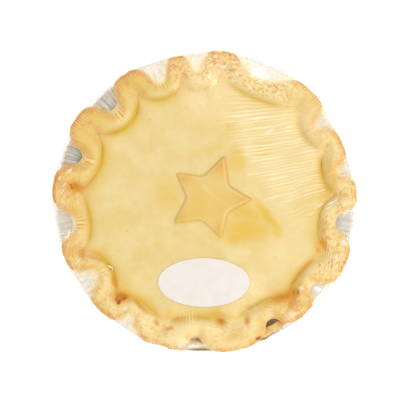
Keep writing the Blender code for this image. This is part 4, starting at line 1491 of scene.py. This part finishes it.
def shoulder_height_at(x, y):
    """Height of the film's shoulder at plan positions along it, or nothing elsewhere."""
    radius, angle = radius_and_angle(x, y)
    reach, height = film_shoulder_at(angle)
    return np.where(np.abs(radius - reach + FILM_SHOULDER) < FILM_SHOULDER_HALF_WIDTH, height, 0.0)


def crust_height_at(x, y):
    """Height of the pastry's top at plan positions, and of the tin's flange outside it."""
    radius, angle = radius_and_angle(x, y)
    column = angle / 360.0 * PIE_COLUMNS
    first = np.floor(column).astype(int) % PIE_COLUMNS
    crease, reach = [np.interp(angle, pie_angles, line, period=360.0) for line in (pie_crease, pie_reach)]
    along = np.clip((radius - crease) / (reach - crease), 0.0, 1.0) * BAND_ROWS
    row = np.minimum(np.floor(along).astype(int), BAND_ROWS - 1)
    band = np.stack([ring[:, 2] for ring in rope_rings])
    columns = (first, (first + 1) % PIE_COLUMNS)
    rope = between_four(band, (row, row + 1), columns, along - row, column - np.floor(column))
    height = np.where(radius < crease, lid_surface(x, y), rope)
    return np.where(radius > reach, np.where(radius < TIN_RIM_RADIUS, TIN_FLANGE_HEIGHT, 0.0), height)


def star_height_at(x, y):
    """Height of the star's top at plan positions, or nothing outside its outline."""
    radii, angles = radius_and_angle(*star_line.T)
    from_centre, angle = radius_and_angle(x - STAR_CENTRE[0], y - STAR_CENTRE[1])
    edge = np.interp(angle, angles, radii, period=360.0)
    return np.where(from_centre < edge, lid_surface(x, y) + STAR_THICKNESS + 0.3, 0.0)


def crumb_height_at(x, y):
    """Height of the crumbs' tops at plan positions and just beside them, or nothing elsewhere."""
    height = np.zeros_like(x)
    for centre_x, centre_y, half_length, half_width, thick, tilt, _ in CRUMBS:
        along, across = turned(x, y, centre_x, centre_y, tilt)
        near = np.hypot(along / (half_length + 0.7), across / (half_width + 0.7)) < 1.0
        height = np.where(near, lid_surface(x, y) + thick, height)
    return height


def rolled_over(heights, bend):
    """Heights after a ball of this radius has rolled over them: hollows too tight for it are bridged."""
    reach = min(bend, FILM_BALL_REACH)
    cells = int(reach / FILM_GRID_STEP)
    offsets = []
    for across in range(-cells, cells + 1):
        for up in range(-cells, cells + 1):
            distance = math.hypot(across, up) * FILM_GRID_STEP
            if distance <= reach:
                offsets.append((across, up, math.sqrt(bend**2 - distance**2) - bend))
    raised = np.full_like(heights, -np.inf)
    for across, up, drop in offsets:
        np.maximum(raised, np.roll(heights, (up, across), (0, 1)) + drop, out=raised)
    lowered = np.full_like(heights, np.inf)
    for across, up, drop in offsets:
        np.minimum(lowered, np.roll(raised, (up, across), (0, 1)) - drop, out=lowered)
    return lowered


def grid_value(grid, x, y):
    """Value of a square grid at plan positions."""
    across = np.clip((np.asarray(x) + FILM_GRID_HALF) / FILM_GRID_STEP, 0.0, grid.shape[1] - 1.001)
    up = np.clip((np.asarray(y) + FILM_GRID_HALF) / FILM_GRID_STEP, 0.0, grid.shape[0] - 1.001)
    column, row = np.floor(across).astype(int), np.floor(up).astype(int)
    return between_four(grid, (row, row + 1), (column, column + 1), up - row, across - column)


def softened(grid, times):
    """A grid whose values are averaged with their neighbours again and again."""
    for _ in range(times):
        sides = sum(np.roll(grid, step, axis) for step in (-1, 1) for axis in (0, 1))
        grid = grid * 0.5 + sides * 0.125
    return grid


grid_line = np.arange(-FILM_GRID_HALF, FILM_GRID_HALF + FILM_GRID_STEP, FILM_GRID_STEP)
grid_x, grid_y = np.meshgrid(grid_line, grid_line)
covered = crust_height_at(grid_x, grid_y)
for height_at in (star_height_at, crumb_height_at, shoulder_height_at):
    covered = np.maximum(covered, height_at(grid_x, grid_y))
lid_film = softened(rolled_over(covered, FILM_LID_BEND), FILM_SOFTENINGS)
rim_film = softened(rolled_over(covered, FILM_RIM_BEND), FILM_SOFTENINGS)


def streak_folds(x, y, radius, crease):
    """Long taut folds right of the star, almost level far off and steeper nearer by."""
    across = y.copy()
    for _ in range(4):
        nearer = np.clip((STREAK_FAR - across) / STREAK_DEPTH, 0.0, 1.2)
        slope = np.tan(np.radians(STREAK_SLOPES[0] + nearer * STREAK_SLOPES[1]))
        across = y - slope * (x - STREAK_PIVOT)
    left = np.interp(y, STREAK_STARTS[0], STREAK_STARTS[1]) + 7.0 * smooth_noise(0.0 * x, across, 3.0, 73)
    share = fade(x, left - 4.0, left + 14.0) * fade(across, -24.0, -8.0) * fade(radius, crease, crease - 6.0)
    share = share * (0.95 + 0.45 * smooth_noise(x, across * 3.0, 13.0, 74))
    wavy = across + 1.3 * smooth_noise(x, across, 13.0, 96) + 0.4 * smooth_noise(x, across, 5.0, 97)
    return wavy / STREAK_PITCH, 0.035 * x, share


def rim_folds(x, y, radius, angle, crease):
    """Short pleats that cross the rim side by side."""
    across = length_round_rim(angle, FOLD_SEAM_ANGLE) / CRINKLE_PITCH
    along = 0.1 * radius + 0.6 * smooth_noise(x, y, 5.0, 79)
    patchy = (0.75 + 0.7 * smooth_noise(x, y, 6.0, 76)) * fade(radius, crease + 1.0, crease + 6.0)
    return across, along, 0.45 * stretch_share(angle, CRINKLED_STRETCHES) * patchy


def place_folds(x, y, centre, direction, size, pitch, strength):
    """Straight pleats in one place, running in one direction."""
    along, across = turned(x, y, *centre, direction)
    share = strength * hump(along, size[0], 4) * hump(across, size[1], 4)
    return across / pitch, 0.14 * along, share * (0.8 + 0.6 * smooth_noise(x, y, 4.0, 75))


def film_folds(x, y, crease):
    """The strongest folds at each place: positions across and along them, and their share."""
    radius, angle = radius_and_angle(x, y)
    families = [streak_folds(x, y, radius, crease), rim_folds(x, y, radius, angle, crease)]
    families += [place_folds(x, y, *place) for place in PLEAT_PLACES]
    across, along, share, rival = [np.zeros_like(x) for _ in range(4)]
    for fold_across, fold_along, fold_share in families:
        wins = fold_share > share
        across = np.where(wins, fold_across, across)
        along = np.where(wins, fold_along, along)
        rival = np.where(wins, share, np.maximum(rival, fold_share))
        share = np.where(wins, fold_share, share)
    return across, along, np.clip((share - rival) * (share / (share + rival + 0.01)), 0.0, 1.0)


def outside_pastry(x, y, radius, angle):
    """Distance outside the pastry's outline, below 0 inside it."""
    distance = np.full_like(radius, FAR_INSIDE)
    near = np.flatnonzero(radius > NEAR_RIM_RADIUS)
    distance[near] = nearest_point(np.stack([x[near], y[near]], axis=1), outer_line)[0]
    return np.where(radius > np.interp(angle, pie_angles, pie_reach, period=360.0), distance, -distance)


def film_haze_and_glare(x, y, reach):
    """How whitish the film is with painted glare, and its white: 0 warm on the pastry, 1 cold off it, 2 a
    painted glint.
    """
    radius, angle = radius_and_angle(x, y)
    haze = 0.02 + 0.015 * smooth_noise(x, y, 30.0, 78)
    beyond = outside_pastry(x, y, radius, angle)
    outside = fade(beyond, -4.2, 1.6)
    outward = fade(radius, 98.0, 112.0)
    # Whitish veils over the pockets, partly haze and partly painted glare
    veil_and_glare = stretch_share(angle, VEIL_AND_GLARE_STRETCHES) + 0.05 + 0.12 * outward
    streaky = 0.95 + 0.2 * smooth_noise(length_round_rim(angle), 0.3 * radius, 1.8, 89)
    haze = haze + veil_and_glare * outside * streaky
    stretched = fade(radius, reach - 7.0, reach - 1.0)
    haze = haze + 0.1 * stretched * (0.7 + 0.6 * smooth_noise(x, y, 4.0, 90))
    # Painted glints: bright white patches where a fold would face the lights
    painted_glints = patch_share(x, y, PAINTED_FILM_GLINTS, 0.5) * (0.85 + 0.5 * smooth_noise(x, y, 1.8, 99))
    # Painted glare: the whitish patches stand partly for the lights reflected in the film
    haze = np.maximum(haze + patch_share(x, y, FILM_HAZE_AND_GLARE_PATCHES), painted_glints)
    crinkled = 0.45 * stretch_share(angle, CRINKLED_STRETCHES) * fade(beyond, -16.0, -8.0)
    pale = np.clip(np.maximum(crinkled, fade(beyond, -0.5, 5.0)), 0.0, 1.0) + np.clip(painted_glints, 0.0, 1.0)
    return haze * (1.0 - patch_share(x, y, CLEAR_PATCHES, 0.4)), pale


def film_top_rings():
    """Rings of the film over the lid and the rim, as far as its shoulder."""
    rings, masks = [], []
    levels = [(0.025 * step, 4) for step in range(1, 9)]
    levels += [(0.2 + 0.0155 * step, 2) for step in range(1, 14)]
    levels += [(share, 1) for share in np.linspace(0.42, 1.0, 62)]
    for share, step in levels:
        reach, crease = film_reach[::step], film_crease[::step]
        radius = (reach - FILM_SHOULDER) * share
        x, y = plan_points(radius, film_angles[::step]).T
        towards_rim = fade(radius, crease - 6.0, crease + 6.0)
        height = grid_value(lid_film, x, y) * (1.0 - towards_rim) + grid_value(rim_film, x, y) * towards_rim
        across, along, folds = film_folds(x, y, crease)
        ridge = np.clip(1.3 * smooth_noise(along, across, 0.55, 71), 0.0, 1.0)
        wrinkle = 0.05 * smooth_noise(x, y, 7.0, 77) + FOLD_HEIGHT * ridge * folds
        rings.append(np.column_stack([x, y, height + FILM_LIFT + wrinkle]))
        haze, pale = film_haze_and_glare(x, y, reach)
        masks.append(np.column_stack([haze + 0.07 * folds * (1.0 + ridge), pale, folds, across, along]))
    return rings, masks


def film_side_rings(top_ring, top_haze):
    """Rings of the film from its shoulder, down past the tin's rim and in to its foot."""
    rings, masks = [], []
    shoulder = top_ring[:, 2]
    across = length_round_rim(film_angles, FOLD_SEAM_ANGLE)
    gather = smooth_noise(across, 0.0 * across, 1.1, 91)
    loose = smooth_noise(*plan_points(NOISE_RADIUS, film_angles).T, 12.0, 92)
    across = across / CRINKLE_PITCH
    gathered = np.clip(gather, 0.0, 1.0)
    pale = np.ones(FILM_COLUMNS)
    route = round_off([(-FILM_SHOULDER, 1.0), (-0.9, 0.97), (0.0, 0.55), (0.0, 0.15)], 2)
    rim_radius, rim_height = TIN_RIM_RADIUS + FILM_RIM_GAP, TIN_FLANGE_HEIGHT - FILM_RIM_GAP
    for offset, share in route[1:]:
        height = rim_height + (shoulder - rim_height) * share
        radius = film_reach + offset + (rim_radius - film_reach) * (1.0 - share) ** 2
        radius = radius + 0.12 * gather * fade(share, 1.0, 0.7)
        x, y = plan_points(radius, film_angles).T
        rings.append(np.column_stack([x, y, height]))
        haze = NECK_HAZE[0] + NECK_HAZE[1] * gathered + NECK_HAZE[2] * loose
        haze = haze + np.maximum(top_haze - haze, 0.0) * fade(share, 0.5, 1.0)
        haze = haze * (1.0 - patch_share(x, y, CLEAR_PATCHES, 0.4))
        masks.append(np.column_stack([haze, pale, 0.02 * pale, across, 0.05 * height]))
    for share in np.linspace(0.0, 1.0, FILM_SKIRT_ROWS):
        step = 1 if share < 0.2 else 2
        sag = math.sin(math.pi * share)
        radius = rim_radius + (FILM_HEM_RADIUS - rim_radius) * share**1.08
        radius = radius + gather[::step] * 0.35 * (0.35 + 0.9 * sag) + loose[::step] * 0.8 * sag
        height = np.full(len(radius), rim_height + (FILM_HEM_HEIGHT - rim_height) * share)
        rings.append(np.column_stack([plan_points(radius, film_angles[::step]), height]))
        haze, folds = SKIRT_HAZE[0] + SKIRT_HAZE[1] * gathered + SKIRT_HAZE[2] * loose, 0.3 + 0.2 * loose
        skirt = np.column_stack([haze, pale, folds, across])[::step]
        masks.append(np.column_stack([skirt, 0.05 * height]))
    return rings, masks


def film_material():
    """Clear glossy film, whitish where it is folded or stretched and with painted glare, that hardly shades
    what it covers.
    """
    material, tree, shader = new_material("clear_film", 0.14)
    place = object_place(tree)
    fine = noise_value(tree, place, 650.0, 3.0, 0.6)
    hazy = product(tree, stored_mask(tree, "haze"), remap(tree, fine, 0.3, 0.7, 0.9, 1.12))
    place = stretched_place(tree, {"fold_across": 1.0, "fold_along": 1.0})
    wave = wandering_wave(tree, place, stored_mask(tree, "fold_across"), 1.9)
    uneven = remap(tree, noise_value(tree, place, 1.1, 2.0, 0.5), 0.33, 0.6, 0.15, 1.0)
    # The folds whiten the film, partly as painted highlights along them
    folds_and_highlights = product(tree, remap(tree, wave, -0.35, 0.95), uneven, stored_mask(tree, "folds"), 0.8)
    shown = calculate(tree, "ADD", hazy, folds_and_highlights, clamp=True)
    pale = stored_mask(tree, "pale")
    veiled = blend_colours(tree, remap(tree, pale, 0.0, 1.0), FILM_WARM, FILM_COLD)
    tone = blend_colours(tree, remap(tree, pale, 1.0, 1.7), veiled, PAINTED_GLINT_WHITE)
    ray = add_nodes(tree, "ShaderNodeLightPath")
    passing = calculate(tree, "MAXIMUM", ray.outputs["Is Shadow Ray"], ray.outputs["Is Diffuse Ray"])
    stopped = remap(tree, passing, 0.0, 1.0, 1.0, FILM_SHADE)
    relief = calculate(tree, "ADD", product(tree, fine, 0.3), folds_and_highlights)
    shader.inputs["Specular IOR Level"].default_value = FILM_SHINE
    fill_sockets(tree, shader, {
        "Base Color": tone,
        "Alpha": product(tree, shown, stopped),
        "Normal": bump_normal(tree, relief, FILM_CREASE_DEPTH * MM, 0.6),
    })
    return material


film_rings, film_masks = film_top_rings()
more_rings, more_masks = film_side_rings(film_rings[-1], film_masks[-1][:, 0])
film_rings += more_rings
film_mask = dict(zip(FILM_MASKS, np.concatenate(film_masks + more_masks).T))
film_mask["haze"] = np.clip(film_mask["haze"], 0.0, MOST_HAZE)
film_piece = add_rings("shrunk_film", film_rings, film_material(), film_mask, closed=(True, False))
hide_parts("film")
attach(film_piece, "root")

# Label
# A label cut as an oval from smooth off-white paper, with nothing on it. Its glued back holds it
# flat on the film below the star, whose gentle waves it follows.
label_low, label_high = np.array(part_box("label")) / MM
LABEL_CENTRE = (label_low + label_high) / 2
LABEL_HALF_SIZE = (label_high - label_low) / 2
LABEL_THICKNESS = 0.14
LABEL_LIFT = 0.12
LABEL_WAVE = 0.12
LABEL_FIBRE_DEPTH = 0.02
LABEL_COLUMNS = 256
LABEL_UNDERSIDE = [(1.0, 0.6), (1.0, 0.2), (0.985, 0.0), (0.5, 0.0)]


def label_rings():
    """Rings of the paper's top from its middle to its edge, and then of its underside."""
    rings = []
    circle = plan_points(1.0, ring_angles(LABEL_COLUMNS))
    for scale, lift in [(share, 1.0) for share in np.linspace(0.08, 0.985, 16)] + LABEL_UNDERSIDE:
        x, y = (LABEL_CENTRE[:2] + LABEL_HALF_SIZE[:2] * circle * scale).T
        height = grid_value(lid_film, x, y) + FILM_LIFT + LABEL_LIFT + LABEL_THICKNESS * lift
        rings.append(np.column_stack([x, y, height + LABEL_WAVE * smooth_noise(x, y, 13.0, 95)]))
    return rings


def label_material():
    """Smooth label paper with a faint fibre."""
    material, tree, shader = new_material("label_paper", 0.45)
    place = object_place(tree)
    fibre = noise_value(tree, place, 1600.0, 4.0, 0.7)
    cloud = noise_value(tree, place, 90.0, 2.0)
    clouded = remap(tree, cloud, 0.3, 0.7)
    fill_sockets(tree, shader, {
        "Base Color": blend_colours(tree, clouded, daylight(230, 223, 214), daylight(225, 216, 206)),
        "Roughness": remap(tree, fibre, 0.3, 0.7, 0.4, 0.55),
        "Normal": bump_normal(tree, fibre, LABEL_FIBRE_DEPTH * MM, 0.5),
    })
    return material


label_piece = add_rings("bare_label", label_rings(), label_material())
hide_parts("label")
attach(label_piece, "root")

# Table, light and camera
# A plain white table, seen from straight above under three soft lights. It glows a little of its
# own, so that it stays white to the edges of the picture.
FLOOR_HALF = 3.0
FLOOR_CORNERS = ((-1, -1), (1, -1), (1, 1), (-1, 1))
FLOOR_WHITE = 0.9
FLOOR_GLOW = 0.42
FLOOR_DROP = 0.0002
SKY_STRENGTH = 0.84
SOFTBOXES = (
    ("key_softbox", (0.75, -0.65, 1.0), (0.2, 0.7), 6.0),
    ("far_softbox", (0.5, 0.95, 0.95), (0.12, 0.7), 2.4),
    ("left_softbox", (-0.95, 0.3, 1.0), (0.12, 0.7), 1.8),
)
LIGHT_TARGET = (0.0, 0.0, 0.04)
CAMERA_LENS = 120.0
CAMERA_CENTRE = (-3.7 * MM, 1.9 * MM)
CAMERA_WIDTH = 298.0 * MM
FOCUS_HEIGHT = 40.0 * MM
SENSOR_WIDTH = 36.0


def add_floor():
    """The plain white table."""
    corners = [(across * FLOOR_HALF, up * FLOOR_HALF, 0.0) for across, up in FLOOR_CORNERS]
    mesh = bpy.data.meshes.new("table")
    mesh.from_pydata(corners, [], [(0, 1, 2, 3)])
    material, _, shader = new_material("white_table", 0.6)
    shader.inputs["Base Color"].default_value = (FLOOR_WHITE, FLOOR_WHITE, FLOOR_WHITE, 1.0)
    shader.inputs["Emission Color"].default_value = (1.0, 1.0, 1.0, 1.0)
    shader.inputs["Emission Strength"].default_value = FLOOR_GLOW
    mesh.materials.append(material)
    floor = bpy.data.objects.new("table", mesh)
    floor.location.z = -FLOOR_DROP
    bpy.context.scene.collection.objects.link(floor)


def add_softbox(name, place, size, power):
    """A rectangular soft light that faces the pie."""
    light = bpy.data.lights.new(name, "AREA")
    light.shape = "RECTANGLE"
    light.size, light.size_y = size
    light.energy = power
    lamp = bpy.data.objects.new(name, light)
    lamp.location = place
    lamp.rotation_mode = "QUATERNION"
    lamp.rotation_quaternion = Vector(np.subtract(LIGHT_TARGET, place)).to_track_quat("-Z", "Y")
    bpy.context.scene.collection.objects.link(lamp)


add_floor()
for softbox in SOFTBOXES:
    add_softbox(*softbox)
world = bpy.data.worlds.new("studio")
world.use_nodes = True
sky = world.node_tree.nodes["Background"]
sky.inputs["Color"].default_value = (1.0, 1.0, 1.0, 1.0)
sky.inputs["Strength"].default_value = SKY_STRENGTH
bpy.context.scene.world = world
bpy.context.scene.view_settings.view_transform = "Standard"

camera_data = bpy.data.cameras.new("camera")
camera_data.lens = CAMERA_LENS
camera_data.sensor_width = SENSOR_WIDTH
camera = bpy.data.objects.new("camera", camera_data)
distance = CAMERA_WIDTH / SENSOR_WIDTH * CAMERA_LENS
camera.location = (*CAMERA_CENTRE, FOCUS_HEIGHT + distance)
bpy.context.scene.collection.objects.link(camera)
bpy.context.scene.camera = camera
